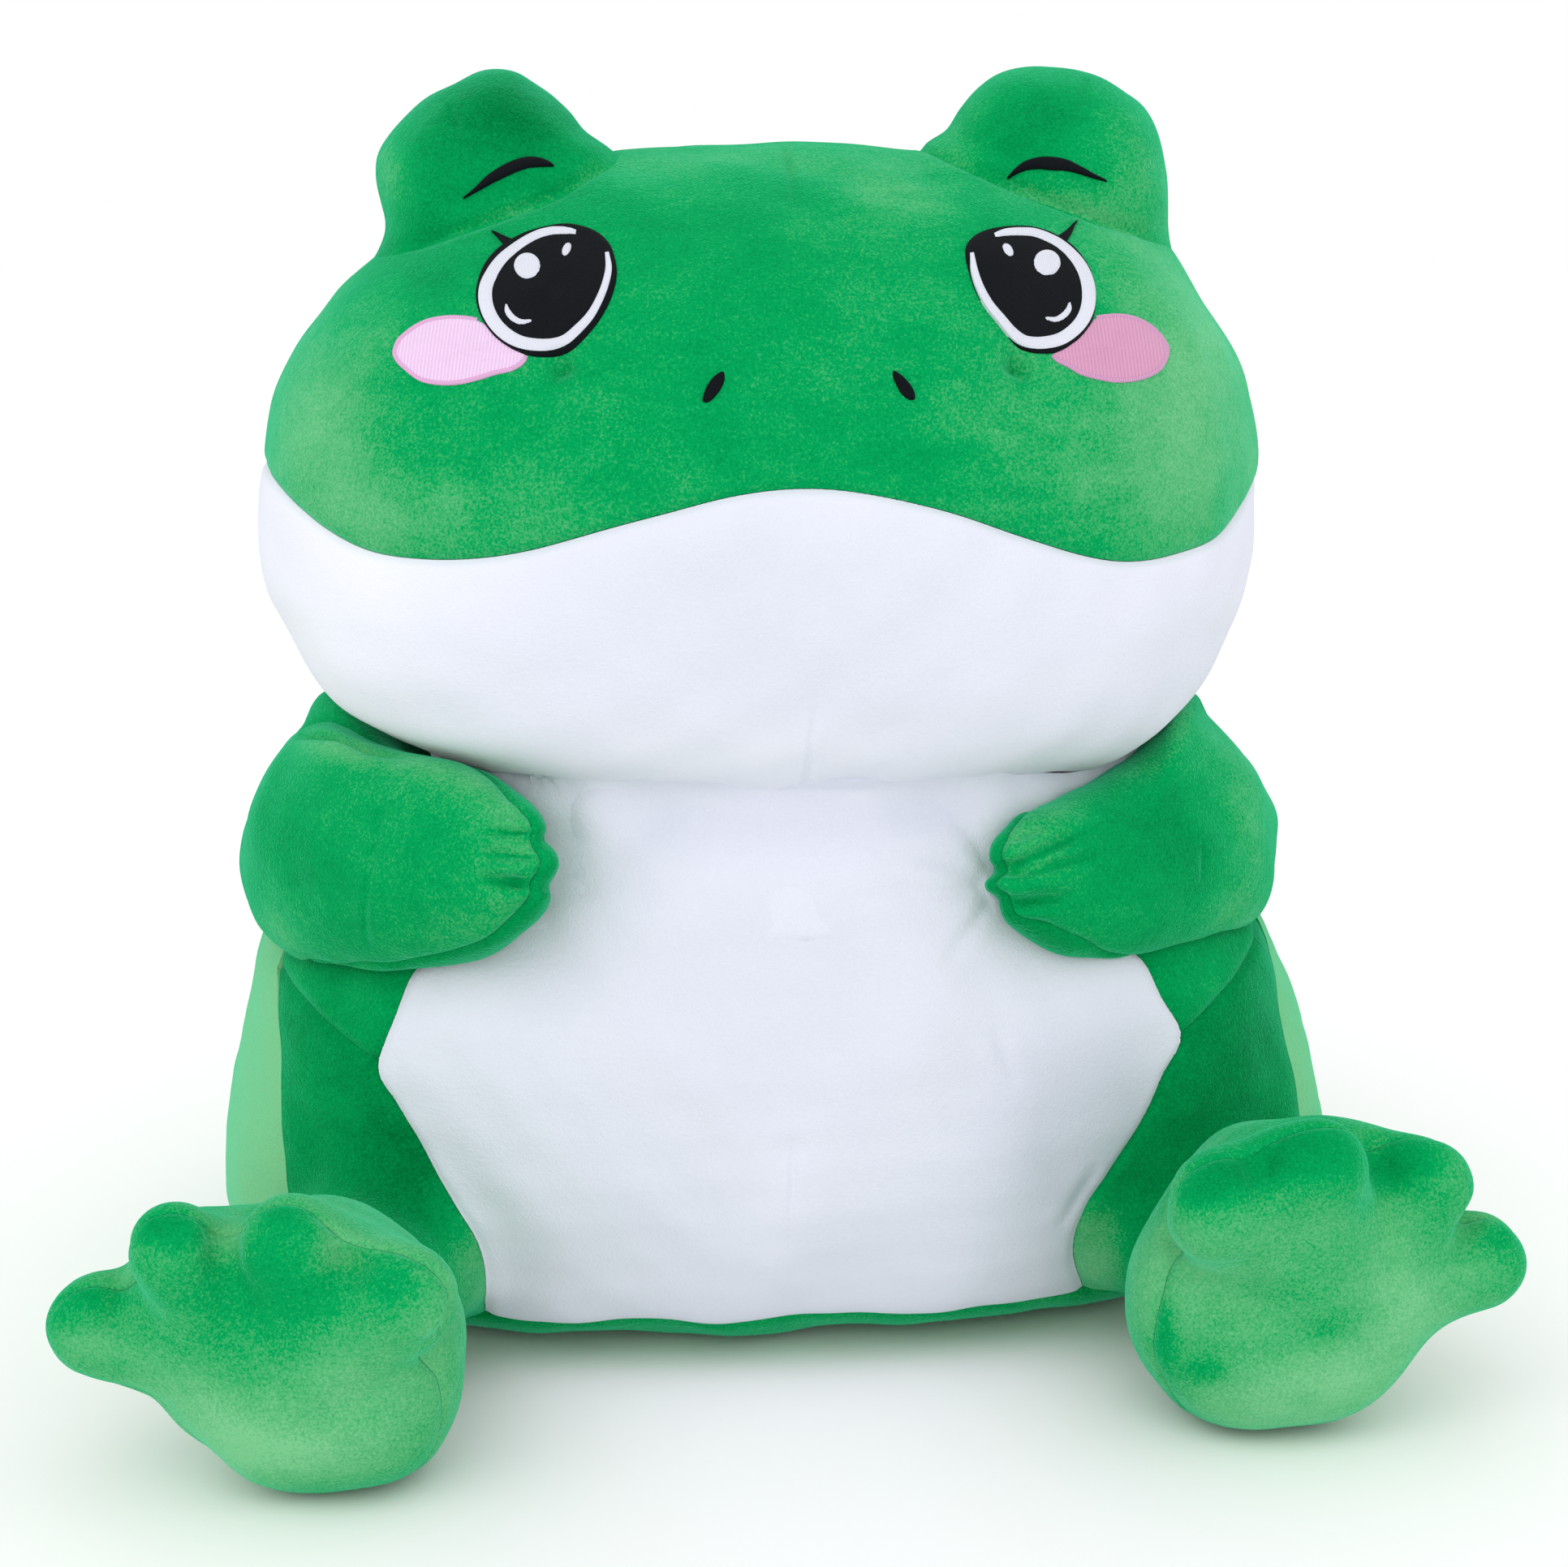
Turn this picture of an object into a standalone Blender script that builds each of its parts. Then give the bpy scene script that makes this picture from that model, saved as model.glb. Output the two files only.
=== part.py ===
"""Plush frog, sitting, sewn from short-pile fabric and filled with fibre.

Metres, +Z up.  The frog looks along -Y and its origin is on the floor under
the middle of its body.  Every fabric panel is its own thin shell, cut from
the outer form of the head, body or limb along its seam lines, and every
pocket holds its own filling.  Limbs, neck and head turn about empties that
stand on their joint axes; the fillings meet there as a ball in a socket.
"""

import math

import bmesh
import bpy
import numpy as np

# ---------------------------------------------------------------- dimensions
FABRIC = 0.0015          # fabric with its backing
FILL_GAP = 0.0013        # between the fabric's inner face and the filling
SEAM_GAP = 0.0003        # how far a panel's edge stands back from its seam
THREAD = 0.0009          # height of an embroidered patch
THREAD_LIFT = 0.0006     # patch above the fabric, and ring above its base
SOCKET_GAP = 0.0016      # ball to socket, at every joint

# head: rows of height, half width, depth to the front, depth to the back
HEAD_X, HEAD_Y, HEAD_POWER = -0.0025, -0.010, 2.3
HEAD_ROWS = (
    (0.2030, 0.0000, 0.0000, 0.0000), (0.2034, 0.0435, 0.0450, 0.0450),
    (0.2055, 0.0820, 0.0750, 0.0750), (0.2110, 0.1160, 0.0970, 0.0920),
    (0.2185, 0.1395, 0.1120, 0.1020), (0.2280, 0.1545, 0.1235, 0.1100),
    (0.2410, 0.1635, 0.1310, 0.1160), (0.2556, 0.1685, 0.1350, 0.1200),
    (0.2700, 0.1715, 0.1365, 0.1220), (0.2987, 0.1732, 0.1365, 0.1240),
    (0.3129, 0.1722, 0.1350, 0.1230), (0.3340, 0.1680, 0.1295, 0.1200),
    (0.3479, 0.1625, 0.1235, 0.1160), (0.3618, 0.1535, 0.1145, 0.1100),
    (0.3756, 0.1420, 0.1025, 0.1010), (0.3880, 0.1285, 0.0880, 0.0880),
    (0.3990, 0.1120, 0.0710, 0.0700), (0.4080, 0.0915, 0.0520, 0.0500),
    (0.4140, 0.0655, 0.0330, 0.0320), (0.4165, 0.0340, 0.0165, 0.0160),
    (0.4167, 0.0000, 0.0000, 0.0000),
)
HEAD_CENTRE = (HEAD_X, HEAD_Y, 0.300)
MOUTH = (  # seam between the green face and the white chin: angle from the front, height
    (-180.0, 0.3050), (-120.0, 0.3040), (-90.0, 0.2985), (-72.0, 0.2905), (-58.0, 0.2866),
    (-45.0, 0.2880), (-33.0, 0.2935), (-20.0, 0.3030), (-8.0, 0.3102), (0.0, 0.3112),
    (8.0, 0.3095), (20.0, 0.3010), (33.0, 0.2908), (45.0, 0.2832), (58.0, 0.2806),
    (72.0, 0.2855), (90.0, 0.2945), (120.0, 0.3040), (180.0, 0.3050),
)
HEAD_BACK_SEAM_Y = 0.034

# body: the same kind of rows
BODY_Y, BODY_POWER, BODY_LEAN = 0.025, 2.4, 0.007
BODY_ROWS = (
    (0.0000, 0.0000, 0.0000, 0.0000), (0.0000, 0.0600, 0.0250, 0.0400),
    (0.0000, 0.1200, 0.0500, 0.0850), (0.0010, 0.1500, 0.0650, 0.1050),
    (0.0060, 0.1760, 0.0830, 0.1220), (0.0180, 0.1945, 0.1040, 0.1350),
    (0.0350, 0.2060, 0.1240, 0.1420), (0.0600, 0.2095, 0.1400, 0.1460),
    (0.0850, 0.2050, 0.1480, 0.1470), (0.1140, 0.1960, 0.1510, 0.1450),
    (0.1380, 0.1850, 0.1480, 0.1400), (0.1580, 0.1680, 0.1380, 0.1280),
    (0.1740, 0.1460, 0.1230, 0.1120), (0.1850, 0.1180, 0.1030, 0.0920),
    (0.1915, 0.0850, 0.0780, 0.0680), (0.1945, 0.0450, 0.0420, 0.0360),
    (0.1950, 0.0000, 0.0000, 0.0000),
)
BODY_CENTRE = (0.003, 0.025, 0.090)
BASE_SEAM_Z = 0.0145
BELLY_WIDTH = (  # height, half width of the white belly panel
    (0.000, 0.108), (0.023, 0.1065), (0.038, 0.1045), (0.050, 0.1075), (0.065, 0.1150),
    (0.084, 0.1280), (0.111, 0.1420), (0.140, 0.1295), (0.165, 0.1180), (0.176, 0.1190), (0.200, 0.1400),
)
THIGH_TOP = (0.111, 0.142, 0.134, 0.177)   # height and half width at the belly corner, then at the ridge
RIDGE_X = 0.1800
SIDE_SEAM_Y = -0.006        # where the front panels end and the back ones begin, over the shoulder

NECK = dict(centre=(0.0, 0.005, 0.2000), r=0.050)
SHOULDER_R, HIP_R, ANKLE_R = 0.0260, 0.0320, 0.0280

BUMPS = {  # two lobes each: centre, radius
    "left": (((-0.1010, -0.018, 0.4025), 0.0320), ((-0.0850, -0.018, 0.3940), 0.0360)),
    "right": (((0.1050, -0.018, 0.4005), 0.0345), ((0.0915, -0.018, 0.3960), 0.0360)),
}
ARMS = {
    "left": dict(shoulder=(-0.122, 0.004, 0.177), elbow=(-0.1440, -0.040, 0.1770), hand=(-0.1130, -0.1200, 0.1900),
                 elbow_r=0.0405, hand_r=0.0325, centre=(-0.140, -0.080, 0.181)),
    "right": dict(shoulder=(0.122, 0.004, 0.1765), elbow=(0.1355, -0.040, 0.1720), hand=(0.0905, -0.1180, 0.1820),
                  elbow_r=0.0400, hand_r=0.0310, centre=(0.125, -0.078, 0.177)),
}
LEGS = {
    "left": dict(hip=(-0.137, -0.082, 0.046), ankle=(-0.150, -0.131, 0.046), hip_r=0.0255, ankle_r=0.0265),
    "right": dict(hip=(0.140, -0.082, 0.046), ankle=(0.147, -0.122, 0.046), hip_r=0.0255, ankle_r=0.0265),
}
FEET = {
    "left": dict(centre=(-0.1600, -0.160, 0.0500), heel=(-0.1570, -0.161, 0.0467), heel_r=(0.0465, 0.0340, 0.0470),
                 toes=((-0.2240, 0.0590, 0.0130), (-0.2020, 0.0860, 0.0140), (-0.1690, 0.0860, 0.0165), (-0.1330, 0.0640, 0.0160))),
    "right": dict(centre=(0.1550, -0.148, 0.0480), heel=(0.1535, -0.150, 0.0462), heel_r=(0.0480, 0.0340, 0.0465),
                  toes=((0.1270, 0.0840, 0.0165), (0.1570, 0.0945, 0.0175), (0.1990, 0.0830, 0.0145), (0.2205, 0.0480, 0.0130))),
}
FLOOR_CLEAR = 0.0004

# face, in the front view: x, z
EYES = {
    "left": dict(centre=(-0.0780, 0.3690), half=(0.0218, 0.0232), cant=0.62, mirror=1.0),
    "right": dict(centre=(0.0710, 0.3695), half=(0.0212, 0.0228), cant=0.62, mirror=-1.0),
}
CHEEKS = {"left": (-0.1105, 0.3490, 0.0215, 0.0115, -0.08), "right": (0.1065, 0.3490, 0.0205, 0.0115, 0.08)}
NOSTRILS = {"left": (-0.0316, 0.3405, 0.0062, 0.0023, 1.05), "right": (0.0274, 0.3408, 0.0058, 0.0023, -1.05)}
BROWS = {
    "left": ((-0.1095, 0.3985), (-0.0975, 0.4085), (-0.0865, 0.4125), (-0.0775, 0.4105)),
    "right": ((0.1095, 0.4040), (0.0975, 0.4110), (0.0870, 0.4125), (0.0760, 0.4060)),
}

COLOURS = {
    "green": (0.018, 0.330, 0.085), "white": (0.800, 0.810, 0.880), "fill": (0.860, 0.860, 0.840),
    "black": (0.006, 0.007, 0.011), "thread": (0.820, 0.830, 0.870), "pink": (0.780, 0.420, 0.640),
}


# ------------------------------------------------------------- plain geometry
def smooth_rows(rows, count):
    """A profile's rows read at count+1 places along a smooth curve through them."""
    table = np.array(rows, float)
    step = np.sqrt(((table[1:, :3] - table[:-1, :3]) ** 2).sum(1)) + 1e-9
    at = np.concatenate([[0.0], np.cumsum(step**0.75)])
    at /= at[-1]
    slope = np.zeros_like(table)
    slope[1:-1] = (table[2:] - table[:-2]) / (at[2:] - at[:-2])[:, None]
    slope[0] = (table[1] - table[0]) / (at[1] - at[0])
    slope[-1] = (table[-1] - table[-2]) / (at[-1] - at[-2])
    t = np.linspace(0, 1, count + 1)
    i = np.clip(np.searchsorted(at, t, side="right") - 1, 0, len(at) - 2)
    h = (at[i + 1] - at[i])[:, None]
    u = ((t - at[i]) / h[:, 0])[:, None]
    return (
        (2 * u**3 - 3 * u**2 + 1) * table[i]
        + (u**3 - 2 * u**2 + u) * h * slope[i]
        + (-2 * u**3 + 3 * u**2) * table[i + 1]
        + (u**3 - u**2) * h * slope[i + 1]
    )


def body_shift(z):
    return BODY_LEAN * (1 - np.clip(z, 0, 0.2) / 0.2)


def head_shift(z):
    return HEAD_X + 0.0 * z


def lofted(rows, y_mid, power, shift, tiers, around):
    """Closed form whose level sections are superellipses."""
    profile = smooth_rows(rows, tiers)
    profile[:, 0] = np.clip(profile[:, 0], rows[0][0], rows[-1][0])
    angle = (np.arange(around) + 0.5) / around * 2 * np.pi
    c, s = np.cos(angle), np.sin(angle)
    ce, se = np.sign(c) * np.abs(c) ** (2 / power), np.sign(s) * np.abs(s) ** (2 / power)
    points = [np.array([[shift(np.float64(rows[0][0])), y_mid, rows[0][0]]])]
    for z, a, f, b in profile[1:-1]:
        a, f, b = max(a, 2e-4), max(f, 2e-4), max(b, 2e-4)
        points.append(np.stack([shift(np.float64(z)) + a * ce, y_mid + np.where(se < 0, f * se, b * se), np.full(around, z)], 1))
    points.append(np.array([[shift(np.float64(rows[-1][0])), y_mid, rows[-1][0]]]))
    points = np.concatenate(points)
    faces, last = [], len(points) - 1
    for k in range(around):
        k2 = (k + 1) % around
        faces.append((0, 1 + k2, 1 + k))
        for j in range(tiers - 2):
            a0, a1 = 1 + j * around + k, 1 + j * around + k2
            faces += [(a0, a1, a1 + around), (a0, a1 + around, a0 + around)]
        top = 1 + (tiers - 2) * around
        faces.append((top + k, top + k2, last))
    return points, np.array(faces)


def globe(tiers, around, pole):
    """Unit directions on a lat-long net whose poles lie along pole."""
    pole = np.array(pole, float) / np.linalg.norm(pole)
    side = np.cross(pole, (0.0, 0.0, 1.0) if abs(pole[2]) < 0.9 else (1.0, 0.0, 0.0))
    side /= np.linalg.norm(side)
    other = np.cross(pole, side)
    rows = [-pole[None]]
    for j in range(1, tiers):
        lat = -np.pi / 2 + np.pi * j / tiers
        phi = (np.arange(around) + 0.5) / around * 2 * np.pi
        rows.append(np.sin(lat) * pole + np.cos(lat) * (np.cos(phi)[:, None] * side + np.sin(phi)[:, None] * other))
    rows.append(pole[None])
    points = np.concatenate(rows)
    faces, last = [], len(points) - 1
    for k in range(around):
        k2 = (k + 1) % around
        faces.append((0, 1 + k2, 1 + k))
        for j in range(tiers - 2):
            a0, a1 = 1 + j * around + k, 1 + j * around + k2
            faces += [(a0, a1, a1 + around), (a0, a1 + around, a0 + around)]
        top = 1 + (tiers - 2) * around
        faces.append((top + k, top + k2, last))
    return points, np.array(faces)


def first_crossing(field, centre, rays, reach, steps=48, halvings=24):
    """Where each ray from centre first leaves the solid that field is negative in."""
    centre = np.array(centre, float)
    low, high = np.zeros(len(rays)), np.full(len(rays), reach)
    found, before = np.zeros(len(rays), bool), 0.0
    for i in range(1, steps + 1):
        r = reach * i / steps
        out = (field(centre + rays * r) > 0) & ~found
        low, high = np.where(out, before, low), np.where(out, r, high)
        found |= out
        before = r
    for _ in range(halvings):
        mid = (low + high) / 2
        out = field(centre + rays * mid[:, None]) > 0
        high, low = np.where(out, mid, high), np.where(out, low, mid)
    return centre + rays * ((low + high) / 2)[:, None]


class Globe:
    """A closed form seen from its centre: how far a point stands outside it, nearly."""

    def __init__(self, rows, y_mid, power, shift, centre):
        profile = smooth_rows(rows, 400)

        def outside(p):
            z = p[:, 2]
            a = np.interp(z, profile[:, 0], profile[:, 1])
            f = np.interp(z, profile[:, 0], profile[:, 2])
            b = np.interp(z, profile[:, 0], profile[:, 3])
            x, y = np.abs(p[:, 0] - shift(z)), p[:, 1] - y_mid
            d = np.where(y < 0, f, b)
            level = (x / np.maximum(a, 1e-4)) ** power + (np.abs(y) / np.maximum(d, 1e-4)) ** power - 1
            return np.where((z < profile[0, 0]) | (z > profile[-1, 0]), 1.0, level)

        self.centre = np.array(centre, float)
        self.ne, self.na = 90, 180
        e = -np.pi / 2 + np.pi * np.arange(self.ne + 1) / self.ne
        a = 2 * np.pi * np.arange(self.na) / self.na
        ee, aa = np.meshgrid(e, a, indexing="ij")
        rays = np.stack([np.cos(ee) * np.cos(aa), np.cos(ee) * np.sin(aa), np.sin(ee)], -1).reshape(-1, 3)
        hit = first_crossing(outside, centre, rays, 0.33)
        self.r = np.linalg.norm(hit - self.centre, axis=1).reshape(self.ne + 1, self.na)
        slope_e = np.gradient(self.r, axis=0) / (np.pi / self.ne)
        slope_a = (np.roll(self.r, -1, 1) - np.roll(self.r, 1, 1)) / (4 * np.pi / self.na)
        cos_e = np.maximum(np.cos(ee), 0.05)
        self.lean = 1 / np.sqrt(1 + (slope_e / self.r) ** 2 + (slope_a / (self.r * cos_e)) ** 2)

    def __call__(self, p):
        q = p - self.centre
        r = np.linalg.norm(q, axis=-1) + 1e-12
        e = (np.arcsin(np.clip(q[..., 2] / r, -1, 1)) + np.pi / 2) / np.pi * self.ne
        a = np.mod(np.arctan2(q[..., 1], q[..., 0]), 2 * np.pi) / (2 * np.pi) * self.na
        i = np.clip(np.floor(e).astype(int), 0, self.ne - 1)
        j = np.floor(a).astype(int) % self.na
        u, v, j2 = e - i, a - np.floor(a), (j + 1) % self.na

        def read(g):
            return (g[i, j] * (1 - u) + g[i + 1, j] * u) * (1 - v) + (g[i, j2] * (1 - u) + g[i + 1, j2] * u) * v

        return (r - read(self.r)) * read(self.lean)


def soft_min(a, b, k):
    h = np.clip(0.5 + 0.5 * (b - a) / k, 0, 1)
    return b * (1 - h) + a * h - k * h * (1 - h)


def soft_max(a, b, k):
    return -soft_min(-a, -b, k)


def ellipsoid(p, centre, radii):
    q, r = p - np.array(centre), np.array(radii)
    k0 = np.sqrt(((q / r) ** 2).sum(-1))
    k1 = np.sqrt(((q / r**2) ** 2).sum(-1)) + 1e-9
    return k0 * (k0 - 1) / k1


def sausage(p, a, b, ra, rb):
    a, b = np.array(a, float), np.array(b, float)
    d = b - a
    h = np.clip(((p - a) @ d) / (d @ d), 0, 1)
    return np.linalg.norm(p - a - h[..., None] * d, axis=-1) - (ra + (rb - ra) * h)


def ball(p, centre, r):
    return np.linalg.norm(p - np.array(centre), axis=-1) - r


# ------------------------------------------------------------- the frog's forms
body_field = Globe(BODY_ROWS, BODY_Y, BODY_POWER, body_shift, BODY_CENTRE)
head_field = Globe(HEAD_ROWS, HEAD_Y, HEAD_POWER, head_shift, HEAD_CENTRE)


def bump_field(side):
    (c1, r1), (c2, r2) = BUMPS[side]

    def field(p):
        return soft_min(ellipsoid(p, c1, (r1, r1 * 0.95, r1 * 1.12)), ellipsoid(p, c2, (r2, r2 * 0.95, r2)), 0.03)

    return field


def arm_field(side):
    arm = ARMS[side]

    def field(p):
        d = sausage(p, arm["elbow"], arm["hand"], arm["elbow_r"], arm["hand_r"])
        d = soft_min(d, sausage(p, arm["shoulder"], arm["elbow"], SHOULDER_R, arm["elbow_r"] * 0.9), 0.02)
        for swing in ARM_SWING:   # clear of the body wherever the arm is swung to
            d = soft_max(d, -(body_field(turned(p, arm["shoulder"], swing if side == "right" else -swing)) - 0.0012), 0.005)
        return soft_max(d, -(head_field(p) - ARM_HEAD_CLEAR), 0.008)

    return field


ARM_HEAD_CLEAR = 0.0045
ARM_SWING = (0.0, 15.0, 30.0, 45.0, 60.0)


def turned(p, centre, degrees):
    """The points turned about the upright line through centre."""
    a = math.radians(degrees)
    q = p - np.array(centre)
    return np.array(centre) + np.stack([q[..., 0] * math.cos(a) - q[..., 1] * math.sin(a), q[..., 0] * math.sin(a) + q[..., 1] * math.cos(a), q[..., 2]], -1)


def leg_field(side):
    leg = LEGS[side]

    def field(p):
        d = sausage(p, leg["hip"], leg["ankle"], leg["hip_r"], leg["ankle_r"])
        d = soft_min(d, ball(p, leg["hip"], HIP_R), 0.008)
        return soft_min(d, ball(p, leg["ankle"], ANKLE_R), 0.008)

    return field


def foot_field(side):
    foot = FEET[side]
    centre = np.array(foot["centre"])

    def field(p):
        d = ellipsoid(p, foot["heel"], foot["heel_r"])
        for x, z, r in foot["toes"]:
            root = centre + (np.array([x, centre[1], z]) - centre) * 0.45
            d = soft_min(d, sausage(p, root, (x, centre[1] - 0.008, z), r * 1.15, r), 0.012)
        return soft_max(d, FLOOR_CLEAR - p[..., 2], 0.004)

    return field


# ------------------------------------------------------------- cutting panels
def vertex_normals(points, faces):
    n = np.cross(points[faces[:, 1]] - points[faces[:, 0]], points[faces[:, 2]] - points[faces[:, 0]])
    total = np.zeros_like(points)
    for k in range(3):
        np.add.at(total, faces[:, k], n)
    return total / (np.linalg.norm(total, axis=1)[:, None] + 1e-18)


def settle_on_seams(points, faces, seams):
    """Moves the points that lie close to a seam onto it, so that no sliver is cut there."""
    points = points.copy()
    held = np.zeros(len(points), bool)
    edges = np.concatenate([faces[:, [0, 1]], faces[:, [1, 2]], faces[:, [2, 0]]])
    for seam in seams:
        value = seam(points)
        ends = np.concatenate([edges, edges[:, ::-1]])
        va, vb = value[ends[:, 0]], value[ends[:, 1]]
        t = np.where(va * vb < 0, va / (va - vb + 1e-30), 9.0)
        for e in np.argsort(t, kind="stable"):
            if t[e] > 0.34:
                break
            a, b = ends[e]
            if held[a]:
                continue
            points[a] += (points[b] - points[a]) * t[e]
            held[a] = True
    return points


def cut_to(points, normals, values, faces, k):
    """Keeps the side of seam k where its value is above zero; every value is carried along."""
    v = values[:, k]
    v = np.where(np.abs(v) < 1e-7, 0.0, v)
    points, normals, rows, made, out = list(points), list(normals), list(values), {}, []

    def crossing(a, b):
        a, b = (a, b) if a < b else (b, a)
        if (a, b) not in made:
            t = v[a] / (v[a] - v[b])
            points.append(points[a] + (points[b] - points[a]) * t)
            n = normals[a] + (normals[b] - normals[a]) * t
            normals.append(n / np.linalg.norm(n))
            row = rows[a] + (rows[b] - rows[a]) * t
            row[k] = 0.0
            rows.append(row)
            made[a, b] = len(points) - 1
        return made[a, b]

    for face in faces:
        ring = []
        for i in range(3):
            a, b = int(face[i]), int(face[(i + 1) % 3])
            if v[a] >= 0:
                ring.append(a)
            if v[a] * v[b] < 0:
                ring.append(crossing(a, b))
        if len(ring) >= 3 and any(v[q] > 0 for q in face):
            for i in range(1, len(ring) - 1):
                out.append((ring[0], ring[i], ring[i + 1]))
    out = np.array(out)
    used, index = np.unique(out, return_inverse=True)
    return np.array(points)[used], np.array(normals)[used], np.array(rows)[used], index.reshape(-1, 3)


def panel_shell(points, normals, faces, thick=FABRIC, gap=SEAM_GAP):
    """A fabric panel: the cut surface, its inner face and the rim that joins them."""
    edges = np.concatenate([faces[:, [0, 1]], faces[:, [1, 2]], faces[:, [2, 0]]])
    key = {(int(a), int(b)) for a, b in edges}
    rim = [(a, b) for a, b in key if (b, a) not in key]
    pull = np.zeros_like(points)
    middle = points[faces].mean(1)
    for k in range(3):
        np.add.at(pull, faces[:, k], middle - points[faces[:, k]])
    pull -= (pull * normals).sum(1)[:, None] * normals
    on_rim = np.zeros(len(points), bool)
    on_rim[[a for a, _ in rim]] = True
    shift = np.where(on_rim[:, None], gap * pull / (np.linalg.norm(pull, axis=1)[:, None] + 1e-18), 0.0)
    outer = points + shift
    inner = outer - normals * thick
    n = len(points)
    quads = [(b, a, a + n, b + n) for a, b in sorted(rim)]
    return np.concatenate([outer, inner]), [tuple(f) for f in faces] + [(f[2] + n, f[1] + n, f[0] + n) for f in faces] + quads


def make_object(name, points, faces, colour, parent=None, rough=0.9):
    mesh = bpy.data.meshes.new(name)
    mesh.from_pydata([tuple(map(float, p)) for p in points], [], [tuple(map(int, f)) for f in faces])
    work = bmesh.new()
    work.from_mesh(mesh)
    bmesh.ops.triangulate(work, faces=work.faces)
    bmesh.ops.recalc_face_normals(work, faces=work.faces)
    work.to_mesh(mesh)
    work.free()
    mesh.shade_smooth()
    mesh.set_sharp_from_angle(angle=math.radians(50))
    material = bpy.data.materials.new(name)
    material.use_nodes = True
    shader = material.node_tree.nodes["Principled BSDF"]
    shader.inputs["Base Color"].default_value = (*COLOURS[colour], 1.0)
    shader.inputs["Roughness"].default_value = rough
    shader.inputs["Metallic"].default_value = 0.0
    mesh.materials.append(material)
    obj = bpy.data.objects.new(name, mesh)
    bpy.context.scene.collection.objects.link(obj)
    if parent is not None:
        obj.parent = parent
        obj.matrix_parent_inverse = parent.matrix_world.inverted()
    return obj


def joint_empty(name, at, parent=None):
    empty = bpy.data.objects.new(name, None)
    empty.empty_display_size = 0.02
    bpy.context.scene.collection.objects.link(empty)
    empty.location = at
    bpy.context.view_layer.update()
    if parent is not None:
        empty.parent = parent
        empty.matrix_parent_inverse = parent.matrix_world.inverted()
        bpy.context.view_layer.update()
    return empty


def socket_cutter(name, at, r):
    mesh = bpy.data.meshes.new(name)
    work = bmesh.new()
    bmesh.ops.create_icosphere(work, subdivisions=2, radius=r * 1.05)
    work.to_mesh(mesh)
    work.free()
    obj = bpy.data.objects.new(name, mesh)
    bpy.context.scene.collection.objects.link(obj)
    obj.location = at
    obj.hide_render = True
    obj.display_type = "WIRE"
    return obj


def cut_socket(obj, cutter):
    boolean = obj.modifiers.new(cutter.name, "BOOLEAN")
    boolean.operation = "DIFFERENCE"
    boolean.solver = "EXACT"
    boolean.object = cutter


def add_ball(obj, knob):
    boolean = obj.modifiers.new(knob.name, "BOOLEAN")
    boolean.operation = "UNION"
    boolean.solver = "EXACT"
    boolean.object = knob


class Form:
    """A whole outer form with its seams, ready to be cut into panels."""

    def __init__(self, points, faces, seams):
        self.faces = faces
        self.points = settle_on_seams(points, faces, seams)
        self.normals = vertex_normals(self.points, faces)
        self.seams = seams

    def panel(self, name, sides, colour, parent, thick=FABRIC):
        """sides holds one pair for each seam used: its number, and +1 or -1 for the side that is kept."""
        values = np.stack([seam(self.points) for seam in self.seams], 1)
        values[np.abs(values) < 2e-6] = 0.0
        points, normals, faces = self.points, self.normals, self.faces
        for k, sign in sides:
            values = values.copy()
            values[:, k] *= sign
            points, normals, values, faces = cut_to(points, normals, values, faces, k)
        return make_object(name, *panel_shell(points, normals, faces, thick), colour, parent)


def filling(name, form, parent, inset=FABRIC + FILL_GAP):
    """The fibre inside a form: the whole form, set back from the fabric's inner face."""
    return make_object(name, form.points - form.normals * inset, form.faces, "fill", parent, 1.0)


def deep_filling(name, form, field, centre, parent, inset=FABRIC + FILL_GAP):
    """The same for a form with a sharp edge: a point that is not deep enough there goes on towards the centre."""
    points, centre = form.points - form.normals * inset, np.array(centre)
    low, high = np.zeros(len(points)), np.ones(len(points))
    shallow = field(points) > -0.95 * inset
    for _ in range(20):
        mid = (low + high) / 2
        out = field(points + (centre - points) * mid[:, None]) > -1.4 * inset
        low, high = np.where(out, mid, low), np.where(out, high, mid)
    points += (centre - points) * np.where(shallow, high, 0.0)[:, None]
    return make_object(name, points, form.faces, "fill", parent, 1.0)


# ------------------------------------------------------------- embroidery
def face_y(x, z):
    """The front of the head at a place in the front view."""
    profile = smooth_rows(HEAD_ROWS, 400)
    a, f = np.interp(z, profile[:, 0], profile[:, 1]), np.interp(z, profile[:, 0], profile[:, 2])
    u = np.clip(np.abs(x - HEAD_X) / np.maximum(a, 1e-4), 0, 0.999)
    return HEAD_Y - f * (1 - u**HEAD_POWER) ** (1 / HEAD_POWER)


def on_head(flat, lift):
    """Places of the front view on the head's surface, lifted off it along its normal."""
    flat = np.asarray(flat, float)
    x, z, e = flat[:, 0], flat[:, 1], 4e-4
    y = face_y(x, z)
    nx, nz = (face_y(x + e, z) - face_y(x - e, z)) / (2 * e), (face_y(x, z + e) - face_y(x, z - e)) / (2 * e)
    normal = np.stack([nx, -np.ones_like(nx), nz], 1)
    normal /= np.linalg.norm(normal, axis=1)[:, None]
    return np.stack([x, y, z], 1) + normal * lift


def on_bump(side):
    field = bump_field(side)

    def place(flat, lift):
        flat = np.asarray(flat, float)
        start = np.stack([flat[:, 0], np.full(len(flat), -0.12), flat[:, 1]], 1)
        for _ in range(60):
            start[:, 1] += np.maximum(field(start) - lift, -0.002) * 0.9
        return start

    return place


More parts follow.
